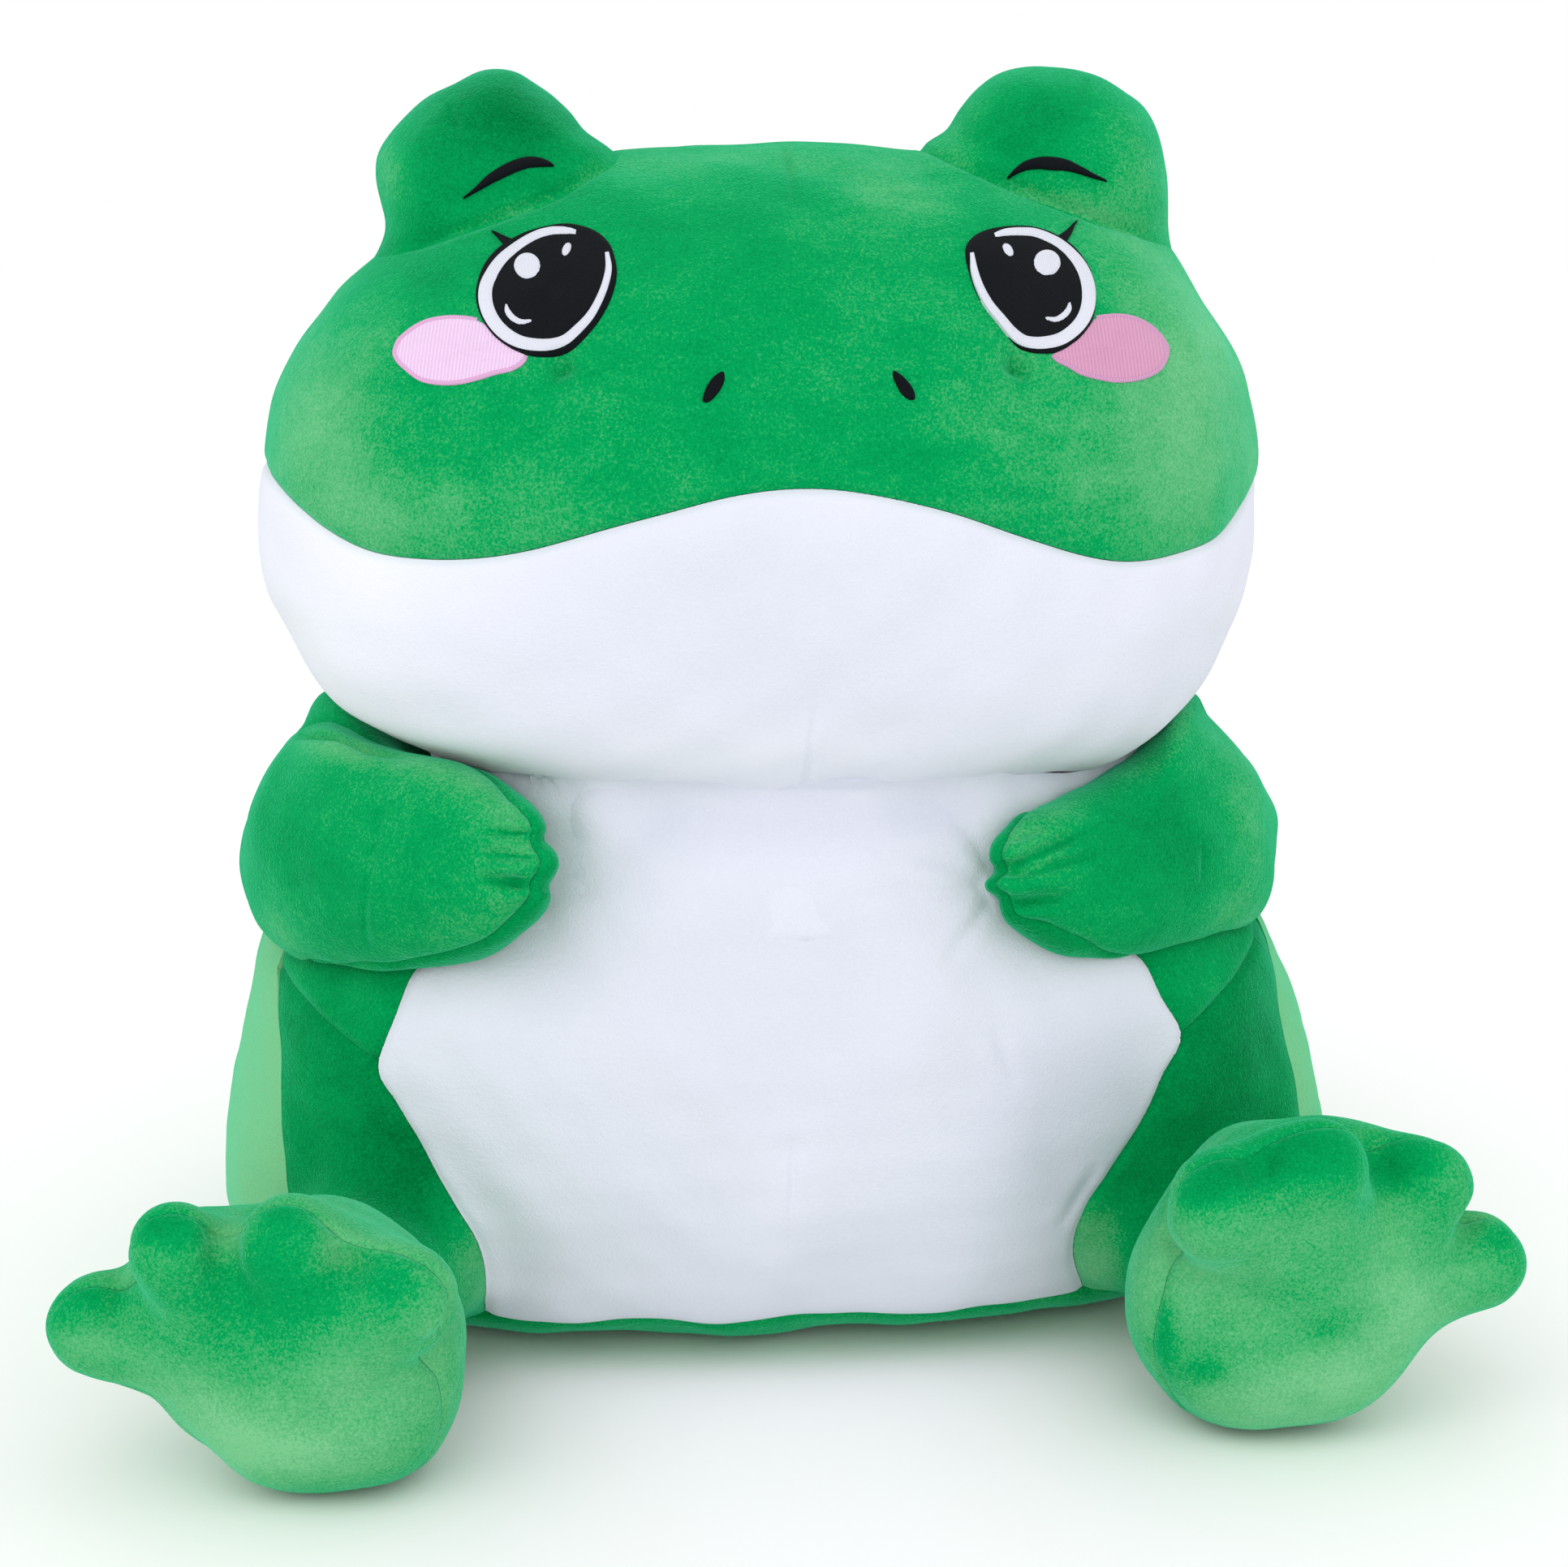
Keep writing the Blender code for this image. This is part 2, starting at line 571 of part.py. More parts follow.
def patch(name, ring, place, lift, colour, parent, rings=3, middle=None):
    """A filled embroidered patch inside a ring of places in the front view."""
    ring = np.asarray(ring, float)
    mid = ring.mean(0) if middle is None else np.array(middle)
    n = len(ring)
    flat = [mid + (ring - mid) * (1 - j / rings) for j in range(rings)] + [mid[None]]
    flat = np.concatenate(flat)
    faces = []
    for j in range(rings - 1):
        for k in range(n):
            a, b = j * n + k, j * n + (k + 1) % n
            faces += [(a, b, b + n), (a, b + n, a + n)]
    last = (rings - 1) * n
    faces += [(last + k, last + (k + 1) % n, len(flat) - 1) for k in range(n)]
    faces = np.array(faces)
    low, high = place(flat, lift), place(flat, lift + THREAD)
    m = len(flat)
    walls = [((k + 1) % n, k, k + m, (k + 1) % n + m) for k in range(n)]
    body = [tuple(f + m) for f in faces] + [(f[2], f[1], f[0]) for f in faces] + walls
    return make_object(name, np.concatenate([low, high]), body, colour, parent, 0.55)


def band(name, spine, widths, place, lift, colour, parent):
    """An embroidered stroke of changing width along a spine in the front view."""
    spine, widths = np.asarray(spine, float), np.asarray(widths, float)
    run = np.gradient(spine, axis=0)
    run /= np.linalg.norm(run, axis=1)[:, None]
    side = np.stack([-run[:, 1], run[:, 0]], 1)
    left, right = spine + side * widths[:, None] / 2, spine - side * widths[:, None] / 2
    flat = np.concatenate([left, right])
    n = len(spine)
    faces = [(i, i + 1, i + 1 + n) for i in range(n - 1)] + [(i, i + 1 + n, i + n) for i in range(n - 1)]
    faces = np.array(faces)
    low, high = place(flat, lift), place(flat, lift + THREAD)
    m = 2 * n
    rim = [(i, i + 1) for i in range(n - 1)] + [(n - 1, 2 * n - 1)] + [(i + n + 1, i + n) for i in reversed(range(n - 1))] + [(n, 0)]
    walls = [(b, a, a + m, b + m) for a, b in rim]
    body = [tuple(f + m) for f in faces] + [(f[2], f[1], f[0]) for f in faces] + walls
    return make_object(name, np.concatenate([low, high]), body, colour, parent, 0.55)


def eye_ring(side, scale, count):
    """Outline of an eye: round below, drawn to a soft point at its upper inner corner."""
    eye = EYES[side]
    t = np.arange(count) / count * 2 * np.pi
    point = np.exp(-((np.angle(np.exp(1j * (t - eye["cant"]))) / 0.33) ** 2))
    flat_side = np.exp(-((np.angle(np.exp(1j * (t - eye["cant"] - 1.15))) / 0.5) ** 2)) * 0.05
    r = 1 + 0.20 * point - flat_side
    x, z = np.cos(t) * r * eye["half"][0] * scale * eye["mirror"], np.sin(t) * r * eye["half"][1] * scale
    ring = np.stack([eye["centre"][0] + x, eye["centre"][1] + z], 1)
    return ring[::-1] if eye["mirror"] < 0 else ring


def eye_point(side, u, v):
    """A place in an eye, from its middle in half widths; u runs towards the nose."""
    eye = EYES[side]
    return (eye["centre"][0] + u * eye["half"][0] * eye["mirror"], eye["centre"][1] + v * eye["half"][1])


def oval(x, z, a, b, turn, count):
    t = np.arange(count) / count * 2 * np.pi
    u, v = a * np.cos(t), b * np.sin(t)
    return np.stack([x + u * math.cos(turn) - v * math.sin(turn), z + u * math.sin(turn) + v * math.cos(turn)], 1)


def embroider(side, head):
    eye = EYES[side]
    base_lift, top_lift = THREAD_LIFT, 2 * THREAD_LIFT + THREAD
    patch(f"eye_black_{side}", eye_ring(side, 1.0, 22), on_head, base_lift, "black", head, 2, eye["centre"])
    # the white ring runs from above the pupil round its outer side to the inner corner
    turn = np.radians(np.linspace(78, 378, 17))
    spine = [eye_point(side, 0.83 * math.cos(a) * (1 + 0.10 * math.exp(-((a - 6.45) / 0.4) ** 2)), 0.83 * math.sin(a)) for a in turn]
    widths = 0.0010 + 0.0034 * np.sin(np.clip((np.degrees(turn) - 70) / 310, 0, 1) * np.pi) ** 1.2
    band(f"eye_ring_{side}", spine, widths, on_head, top_lift, "thread", head)
    patch(f"eye_glint_large_{side}", oval(*eye_point(side, -0.27, 0.36), 0.0046, 0.0048, 0, 12), on_head, top_lift, "thread", head, 1)
    patch(f"eye_glint_small_{side}", oval(*eye_point(side, 0.32, 0.60), 0.0014, 0.0021, -0.3 * eye["mirror"], 8), on_head, top_lift, "thread", head, 1)
    turn = np.radians(np.linspace(205, 275, 8))
    spine = [eye_point(side, 0.56 * math.cos(a) + 0.02, 0.56 * math.sin(a) - 0.03) for a in turn]
    band(f"eye_crescent_{side}", spine, 0.0006 + 0.0015 * np.sin(np.linspace(0.15, 0.85, 8) * np.pi), on_head, top_lift, "thread", head)
    # lash: a short stroke up and outward from the eye's upper edge
    a, b = np.array(eye_point(side, -0.58, 0.99)), np.array(eye_point(side, -0.90, 1.26))
    spine = [a + (b - a) * t for t in np.linspace(0, 1, 4)]
    band(f"eyelash_{side}", spine, np.linspace(0.0030, 0.0008, 4), on_head, base_lift, "black", head)
    x, z, a, b, turn = CHEEKS[side]
    ring = oval(x, z, a, b, turn, 18)
    patch(f"cheek_{side}", keep_clear(ring, eye_ring(side, 1.06, 26), eye["centre"]), on_head, base_lift, "pink", head, 2, (x + (0.004 if x < 0 else 0.004) * (1 if x > 0 else -1), z - 0.001))
    x, z, a, b, turn = NOSTRILS[side]
    patch(f"nostril_{side}", oval(x, z, a, b, turn, 10), on_head, base_lift, "black", head, 1)
    spine = brow_spine(side, 8)
    band(f"eyebrow_{side}", spine, 0.0010 + 0.0032 * np.sin(np.linspace(0.04, 0.93, 8) * np.pi), on_bump(side), base_lift, "black", head)


def brow_spine(side, count):
    p = np.array(BROWS[side])
    t = np.linspace(0, 1, count)[:, None]
    return (1 - t) ** 3 * p[0] + 3 * (1 - t) ** 2 * t * p[1] + 3 * (1 - t) * t**2 * p[2] + t**3 * p[3]


def keep_clear(ring, fence, middle):
    """The ring's points that fall inside the fence are moved straight out onto it."""
    middle = np.array(middle)
    fence = np.asarray(fence)
    angle = np.arctan2(fence[:, 1] - middle[1], fence[:, 0] - middle[0])
    order = np.argsort(angle)
    angle, radius = angle[order], np.linalg.norm(fence - middle, axis=1)[order]
    out = []
    for p in ring:
        d = p - middle
        r = np.interp(math.atan2(d[1], d[0]), angle, radius, period=2 * np.pi)
        out.append(middle + d * max(1.0, r / (np.linalg.norm(d) + 1e-12)))
    return np.array(out)


# ------------------------------------------------------------- seams
def mouth_seam(p):
    angle = np.degrees(np.arctan2(p[:, 0] - HEAD_X, -(p[:, 1] - HEAD_Y)))
    table = np.array(MOUTH)
    return p[:, 2] - np.interp(angle, table[:, 0], table[:, 1])


def head_back_seam(p):
    return p[:, 1] - HEAD_BACK_SEAM_Y


def neck_opening(r):
    def seam(p):
        return np.where(np.abs(p[:, 2] - NECK["centre"][2]) < 0.03, np.hypot(p[:, 0] - NECK["centre"][0], p[:, 1] - NECK["centre"][1]) - r, 0.05)

    return seam


def base_seam(p):
    return p[:, 2] - BASE_SEAM_Z


def belly_seam(p):
    table = np.array(BELLY_WIDTH)
    x = np.abs(p[:, 0] - body_shift(p[:, 2]) * 0.6 + 0.004)
    return np.minimum(np.interp(p[:, 2], table[:, 0], table[:, 1]) - x, (SIDE_SEAM_Y - p[:, 1]) * 2)


def ridge_seam(p):
    """Positive on the front, inside the ridge that runs down the flank."""
    x = np.abs(p[:, 0] - body_shift(p[:, 2]))
    return np.minimum(RIDGE_X - 0.5 * np.maximum(p[:, 2] - 0.134, 0) - x, (SIDE_SEAM_Y - p[:, 1]) * 2)


def thigh_seam(p):
    z0, x0, z1, x1 = THIGH_TOP
    x = np.abs(p[:, 0] - body_shift(p[:, 2]) * 0.6)
    return (z0 + (x - x0) * (z1 - z0) / (x1 - x0) - p[:, 2]) * 0.8


def middle_seam(p):
    return p[:, 0] - 0.002


# ------------------------------------------------------------- building
def build_head(root):
    neck_joint = joint_empty("neck_turn_axis", NECK["centre"], root)
    head_joint = joint_empty("head_nod_axis", NECK["centre"], neck_joint)
    points, faces = lofted(HEAD_ROWS, HEAD_Y, HEAD_POWER, head_shift, 14, 34)
    opening = NECK["r"] + 0.0022
    form = Form(points, faces, [head_back_seam, mouth_seam, neck_opening(opening)])
    form.panel("head_face_cover", ((0, -1), (1, 1)), "green", head_joint)
    form.panel("head_chin_cover", ((0, -1), (1, -1), (2, 1)), "white", head_joint)
    form.panel("head_back_cover", ((0, 1), (2, 1)), "green", head_joint)
    core = filling("head_stuffing", form, head_joint)
    neck_socket = socket_cutter("neck_socket_guide", NECK["centre"], NECK["r"] + SOCKET_GAP)
    cut_socket(core, neck_socket)
    mesh_points, mesh_faces = globe(10, 18, (0, 0, 1))
    centre = np.array(NECK["centre"])
    make_object("neck_stuffing", centre + mesh_points * (NECK["r"] - 0.0006), mesh_faces, "fill", neck_joint, 1.0)
    for side in ("left", "right"):
        build_bump(side, head_joint)
        embroider(side, head_joint)
    return neck_socket


def build_bump(side, head_joint):
    field = bump_field(side)
    (c1, _), (c2, _) = BUMPS[side]
    centre = (np.array(c1) + np.array(c2)) / 2 + np.array([0, 0, 0.006])

    def above_head(p):
        return soft_max(field(p), -(head_field(p) - 0.0010), 0.0006)

    def seam(p):
        return head_field(p) - 0.0026

    rays, faces = globe(8, 14, (0, 0, 1))
    start = centre if above_head(centre[None])[0] < 0 else centre + np.array([0, 0, 0.008])
    points = first_crossing(above_head, start, rays, 0.07)
    form = Form(points, faces, [seam])
    form.panel(f"eye_bump_cover_{side}", ((0, 1),), "green", head_joint)
    deep_filling(f"eye_bump_stuffing_{side}", form, above_head, start, head_joint)


def build_body(root, neck_socket):
    points, faces = lofted(BODY_ROWS, BODY_Y, BODY_POWER, body_shift, 13, 34)
    opening = neck_opening(NECK["r"] + 0.0022)
    form = Form(points, faces, [base_seam, belly_seam, ridge_seam, thigh_seam, middle_seam, opening])
    panels = {"base_cover": form.panel("base_cover", ((0, -1),), "green", root, FABRIC)}
    panels["belly_cover"] = form.panel("belly_cover", ((0, 1), (1, 1), (5, 1)), "white", root)
    for side, sign in (("left", -1), ("right", 1)):
        panels[f"flank_cover_{side}"] = form.panel(f"flank_cover_{side}", ((0, 1), (4, sign), (1, -1), (2, 1), (3, -1), (5, 1)), "green", root)
        panels[f"thigh_cover_{side}"] = form.panel(f"thigh_cover_{side}", ((0, 1), (4, sign), (1, -1), (2, 1), (3, 1)), "green", root)
        panels[f"back_cover_{side}"] = form.panel(f"back_cover_{side}", ((0, 1), (4, sign), (2, -1), (5, 1)), "green", root)
    panels["body_stuffing"] = filling("body_stuffing", form, root)
    cut_socket(panels["body_stuffing"], neck_socket)
    return panels


def build_arm(side, root, panels):
    arm = ARMS[side]
    field = arm_field(side)
    joint = joint_empty(f"shoulder_axis_{side}", arm["shoulder"], root)
    along = np.array(arm["hand"]) - np.array(arm["shoulder"])
    outward = np.array([along[1], -along[0], 0.0]) * (1 if side == "left" else -1)
    outward /= np.linalg.norm(outward)
    through = np.array(arm["elbow"]) * 0.5 + np.array(arm["hand"]) * 0.5 + outward * 0.004

    def palm_seam(p):
        return (p - through) @ outward

    def root_seam(p):
        return np.minimum(body_field(p) - 0.0040, ball(p, arm["shoulder"], SHOULDER_R + 0.0015))

    rays, faces = globe(10, 18, along)
    form = Form(first_crossing(field, arm["centre"], rays, 0.16), faces, [palm_seam, root_seam])
    form.panel(f"arm_outer_cover_{side}", ((0, 1), (1, 1)), "green", joint)
    form.panel(f"arm_palm_cover_{side}", ((0, -1), (1, 1)), "green", joint)
    core = deep_filling(f"arm_stuffing_{side}", form, field, arm["centre"], joint)
    ball_r = SHOULDER_R - 0.0055
    knob = socket_cutter(f"shoulder_ball_guide_{side}", arm["shoulder"], ball_r)
    add_ball(core, knob)
    cutter = socket_cutter(f"shoulder_socket_guide_{side}", arm["shoulder"], ball_r + SOCKET_GAP)
    for name in ("body_stuffing", f"flank_cover_{side}", f"back_cover_{side}", f"thigh_cover_{side}", "belly_cover"):
        cut_socket(panels[name], cutter)


def build_leg(side, root, panels):
    leg, foot = LEGS[side], FEET[side]
    hip = joint_empty(f"hip_axis_{side}", leg["hip"], root)
    ankle = joint_empty(f"ankle_axis_{side}", leg["ankle"], hip)
    field, foot_shape = leg_field(side), foot_field(side)
    middle = (np.array(leg["hip"]) + np.array(leg["ankle"])) / 2
    along = np.array(leg["ankle"]) - np.array(leg["hip"])

    def seams(p):
        return np.minimum(body_field(p) - 0.0016, foot_shape(p) - 0.0010)

    rays, faces = globe(9, 14, along)
    form = Form(first_crossing(field, middle, rays, 0.12), faces, [seams])
    form.panel(f"leg_cover_{side}", ((0, 1),), "green", hip)
    filling(f"leg_stuffing_{side}", form, hip)
    cutter = socket_cutter(f"hip_socket_guide_{side}", leg["hip"], HIP_R + SOCKET_GAP)
    for name in ("body_stuffing", f"thigh_cover_{side}", f"back_cover_{side}", "base_cover", "belly_cover"):
        cut_socket(panels[name], cutter)

    def sole_seam(p):
        return (foot["heel"][1] - 0.004) - p[:, 1]

    rays, faces = globe(6, 46, (0, -1, 0.0))
    form = Form(first_crossing(foot_shape, foot["centre"], rays, 0.12), faces, [sole_seam])
    sole = form.panel(f"foot_sole_cover_{side}", ((0, 1),), "green", ankle)
    top = form.panel(f"foot_top_cover_{side}", ((0, -1),), "green", ankle)
    core = filling(f"foot_stuffing_{side}", form, ankle)
    cutter = socket_cutter(f"ankle_socket_guide_{side}", leg["ankle"], ANKLE_R + SOCKET_GAP)
    cut_socket(core, cutter)
    cut_socket(top, cutter)


def main():
    for obj in list(bpy.data.objects):
        bpy.data.objects.remove(obj, do_unlink=True)
    root = joint_empty("frog", (0, 0, 0))
    neck_socket = build_head(root)
    panels = build_body(root, neck_socket)
    for side in ("left", "right"):
        build_arm(side, root, panels)
        build_leg(side, root, panels)


main()
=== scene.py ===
import math

import bpy
import numpy as np
from mathutils import Matrix, Vector
from mathutils.bvhtree import BVHTree


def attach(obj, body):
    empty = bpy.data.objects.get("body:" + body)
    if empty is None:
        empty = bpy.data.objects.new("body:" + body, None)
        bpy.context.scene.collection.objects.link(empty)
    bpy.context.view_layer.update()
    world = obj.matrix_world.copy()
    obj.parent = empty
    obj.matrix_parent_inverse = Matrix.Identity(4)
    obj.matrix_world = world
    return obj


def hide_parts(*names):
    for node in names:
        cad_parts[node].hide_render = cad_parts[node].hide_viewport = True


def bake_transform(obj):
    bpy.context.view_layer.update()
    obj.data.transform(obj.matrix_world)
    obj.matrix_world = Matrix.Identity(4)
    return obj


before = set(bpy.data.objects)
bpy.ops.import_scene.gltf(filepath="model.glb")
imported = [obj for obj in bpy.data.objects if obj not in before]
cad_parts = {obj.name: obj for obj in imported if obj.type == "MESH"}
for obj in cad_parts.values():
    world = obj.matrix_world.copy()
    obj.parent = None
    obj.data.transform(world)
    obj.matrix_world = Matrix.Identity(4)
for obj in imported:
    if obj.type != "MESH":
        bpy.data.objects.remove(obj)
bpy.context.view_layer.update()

FINE = 1.0      # net size factor

# =====================================================================
# the picture's frame: 1932 x 1931, seen from a little above and left
# =====================================================================
WIDE, HIGH, FOCAL = 1932, 1931, 3300.0
AZ, EL = math.radians(-6.5), math.radians(11.4)
BACK = np.array([math.sin(AZ) * math.cos(EL), -math.cos(AZ) * math.cos(EL), math.sin(EL)])
EYE_AT = np.array([0.0, -0.05, 0.20]) + BACK * 0.93
RIGHT = np.array([math.cos(AZ), math.sin(AZ), 0.0])
UP = np.cross(BACK, RIGHT)


def rays_of(pixels):
    uv = np.atleast_2d(np.asarray(pixels, float))
    d = -BACK * FOCAL + RIGHT * (uv[:, :1] - WIDE / 2) - UP * (uv[:, 1:2] - HIGH / 2)
    return d / np.linalg.norm(d, axis=1)[:, None]


def seen(field, pixels, near=0.55, far=1.25):
    """Where the line of sight through each place of the picture meets a form, or passes closest to it."""
    d = rays_of(pixels)
    t = np.arange(near, far, 0.0015)
    value = field((EYE_AT + d[:, None, :] * t[None, :, None]).reshape(-1, 3)).reshape(len(d), len(t))
    inside = value < 0
    hit = inside.any(1)
    k = np.where(hit, inside.argmax(1), value.argmin(1))
    low, high = t[np.maximum(k - 1, 0)], t[k]
    for _ in range(18):
        mid = (low + high) / 2
        out = field(EYE_AT + d * mid[:, None]) > 0
        low, high = np.where(out, mid, low), np.where(out, high, mid)
    return EYE_AT + d * np.where(hit, high, t[k])[:, None]


def px(u, v, y):
    """The place at depth y that shows at u, v in the picture."""
    d = rays_of((u, v))[0]
    return EYE_AT + d * (y - EYE_AT[1]) / d[1]


def shown_at(p):
    """Where places show in the picture, and how far in front of the eye."""
    q = p - EYE_AT
    far = -(q @ BACK)
    return WIDE / 2 + FOCAL * (q @ RIGHT) / far, HIGH / 2 - FOCAL * (q @ UP) / far, far


# =====================================================================
# the frog's dimensions, as the construction has them
# =====================================================================
HEAD_X, HEAD_Y, HEAD_POWER = -0.0025, -0.010, 2.3
HEAD_ROWS = (
    (0.2030, 0.0000, 0.0000, 0.0000), (0.2034, 0.0435, 0.0450, 0.0450),
    (0.2055, 0.0800, 0.0750, 0.0750), (0.2110, 0.1125, 0.0970, 0.0920),
    (0.2185, 0.1345, 0.1120, 0.1020), (0.2280, 0.1497, 0.1235, 0.1100),
    (0.2410, 0.1595, 0.1310, 0.1160), (0.2556, 0.1663, 0.1350, 0.1200),
    (0.2700, 0.1720, 0.1365, 0.1220), (0.2987, 0.1744, 0.1365, 0.1240),
    (0.3129, 0.1739, 0.1350, 0.1230), (0.3340, 0.1690, 0.1295, 0.1200),
    (0.3479, 0.1629, 0.1235, 0.1160), (0.3618, 0.1535, 0.1145, 0.1100),
    (0.3756, 0.1426, 0.1025, 0.1010), (0.3880, 0.1300, 0.0880, 0.0880),
    (0.3990, 0.1120, 0.0710, 0.0700), (0.4080, 0.0915, 0.0520, 0.0500),
    (0.4140, 0.0655, 0.0330, 0.0320), (0.4165, 0.0340, 0.0165, 0.0160),
    (0.4167, 0.0000, 0.0000, 0.0000),
)
HEAD_CENTRE = (HEAD_X, HEAD_Y, 0.300)
HEAD_BACK_SEAM_Y = 0.034
BODY_Y, BODY_POWER, BODY_LEAN = 0.025, 2.4, 0.007
BODY_ROWS = (
    (0.0000, 0.0000, 0.0000, 0.0000), (0.0000, 0.0600, 0.0300, 0.0400),
    (0.0000, 0.1200, 0.0600, 0.0850), (0.0010, 0.1500, 0.0780, 0.1050),
    (0.0060, 0.1760, 0.0950, 0.1220), (0.0180, 0.1945, 0.1115, 0.1350),
    (0.0350, 0.2078, 0.1240, 0.1420), (0.0600, 0.2082, 0.1400, 0.1460),
    (0.0850, 0.2026, 0.1480, 0.1470), (0.1140, 0.1945, 0.1510, 0.1450),
    (0.1380, 0.1850, 0.1480, 0.1400), (0.1580, 0.1680, 0.1380, 0.1280),
    (0.1740, 0.1460, 0.1230, 0.1120), (0.1850, 0.1180, 0.1030, 0.0920),
    (0.1915, 0.0850, 0.0780, 0.0680), (0.1945, 0.0450, 0.0420, 0.0360),
    (0.1950, 0.0000, 0.0000, 0.0000),
)
BODY_CENTRE = (0.003, 0.025, 0.090)
BASE_SEAM_Z = 0.0145
RIDGE_X = 0.1800
SIDE_SEAM_Y = -0.006
SHOULDER_R, HIP_R, ANKLE_R = 0.0260, 0.0320, 0.0280
ARMS = {"left": dict(shoulder=(-0.122, 0.004, 0.177)), "right": dict(shoulder=(0.122, 0.004, 0.1765))}
LEGS = {
    "left": dict(hip=(-0.137, -0.082, 0.046), ankle=(-0.150, -0.131, 0.046), hip_r=0.0255, ankle_r=0.0265),
    "right": dict(hip=(0.140, -0.082, 0.046), ankle=(0.147, -0.122, 0.046), hip_r=0.0255, ankle_r=0.0265),
}
FEET = {"left": dict(heel=(-0.1570, -0.161, 0.0467)), "right": dict(heel=(0.1535, -0.150, 0.0462))}
FLOOR_CLEAR = 0.0004
FABRIC = 0.0012


# =====================================================================
# forms
# =====================================================================
def smooth_rows(rows, count):
    """A profile's rows read at count+1 places along a smooth curve through them."""
    table = np.array(rows, float)
    step = np.sqrt(((table[1:, :3] - table[:-1, :3]) ** 2).sum(1)) + 1e-9
    at = np.concatenate([[0.0], np.cumsum(step**0.75)])
    at /= at[-1]
    slope = np.zeros_like(table)
    slope[1:-1] = (table[2:] - table[:-2]) / (at[2:] - at[:-2])[:, None]
    slope[0] = (table[1] - table[0]) / (at[1] - at[0])
    slope[-1] = (table[-1] - table[-2]) / (at[-1] - at[-2])
    t = np.linspace(0, 1, count + 1)
    i = np.clip(np.searchsorted(at, t, side="right") - 1, 0, len(at) - 2)
    h = (at[i + 1] - at[i])[:, None]
    u = ((t - at[i]) / h[:, 0])[:, None]
    return (
        (2 * u**3 - 3 * u**2 + 1) * table[i]
        + (u**3 - 2 * u**2 + u) * h * slope[i]
        + (-2 * u**3 + 3 * u**2) * table[i + 1]
        + (u**3 - u**2) * h * slope[i + 1]
    )


def curve_through(points, count=200, closed=False):
    """A smooth curve through places in any number of dimensions."""
    p = np.asarray(points, float)
    if closed:
        p = np.concatenate([p[-2:], p, p[:3]])
    else:
        p = np.concatenate([2 * p[:1] - p[1:2], p, 2 * p[-1:] - p[-2:-1]])
    first, last = (2, len(p) - 3) if closed else (1, len(p) - 2)
    chord = np.linalg.norm(np.diff(p, axis=0), axis=1) ** 0.5 + 1e-9
    at = np.concatenate([[0.0], np.cumsum(chord)])
    t = np.linspace(at[first], at[last], count + 1)
    if closed:
        t = t[:-1]
    i = np.clip(np.searchsorted(at, t, side="right") - 1, first, last - 1)
    p0, p1, p2, p3 = p[i - 1], p[i], p[i + 1], p[np.minimum(i + 2, len(p) - 1)]
    t0, t1, t2, t3 = (at[np.minimum(i + k, len(at) - 1)][:, None] for k in (-1, 0, 1, 2))
    t3 = np.where(t3 <= t2, t2 + (t2 - t1), t3)
    t = t[:, None]
    a1 = (t1 - t) / (t1 - t0) * p0 + (t - t0) / (t1 - t0) * p1
    a2 = (t2 - t) / (t2 - t1) * p1 + (t - t1) / (t2 - t1) * p2
    a3 = (t3 - t) / (t3 - t2) * p2 + (t - t2) / (t3 - t2) * p3
    b1 = (t2 - t) / (t2 - t0) * a1 + (t - t0) / (t2 - t0) * a2
    b2 = (t3 - t) / (t3 - t1) * a2 + (t - t1) / (t3 - t1) * a3
    return (t2 - t) / (t2 - t1) * b1 + (t - t1) / (t2 - t1) * b2


def finer(grid, times, axis, wrap):
    """A grid read times as finely along one axis, on smooth curves."""
    g = np.moveaxis(grid, axis, 0)
    n = len(g)
    if wrap:
        pad = np.concatenate([g[-1:], g, g[:2]])
        out = n * times
    else:
        pad = np.concatenate([2 * g[:1] - g[1:2], g, 2 * g[-1:] - g[-2:-1]])
        pad = np.concatenate([pad, pad[-1:]])
        out = (n - 1) * times + 1
    t = np.arange(out) / times
    i = np.floor(t).astype(int)
    u = (t - i)[:, None]
    p0, p1, p2, p3 = pad[i], pad[i + 1], pad[i + 2], pad[np.minimum(i + 3, len(pad) - 1)]
    made = 0.5 * (2 * p1 + (p2 - p0) * u + (2 * p0 - 5 * p1 + 4 * p2 - p3) * u**2 + (3 * p1 - 3 * p2 + p3 - p0) * u**3)
    return np.moveaxis(made, 0, axis)


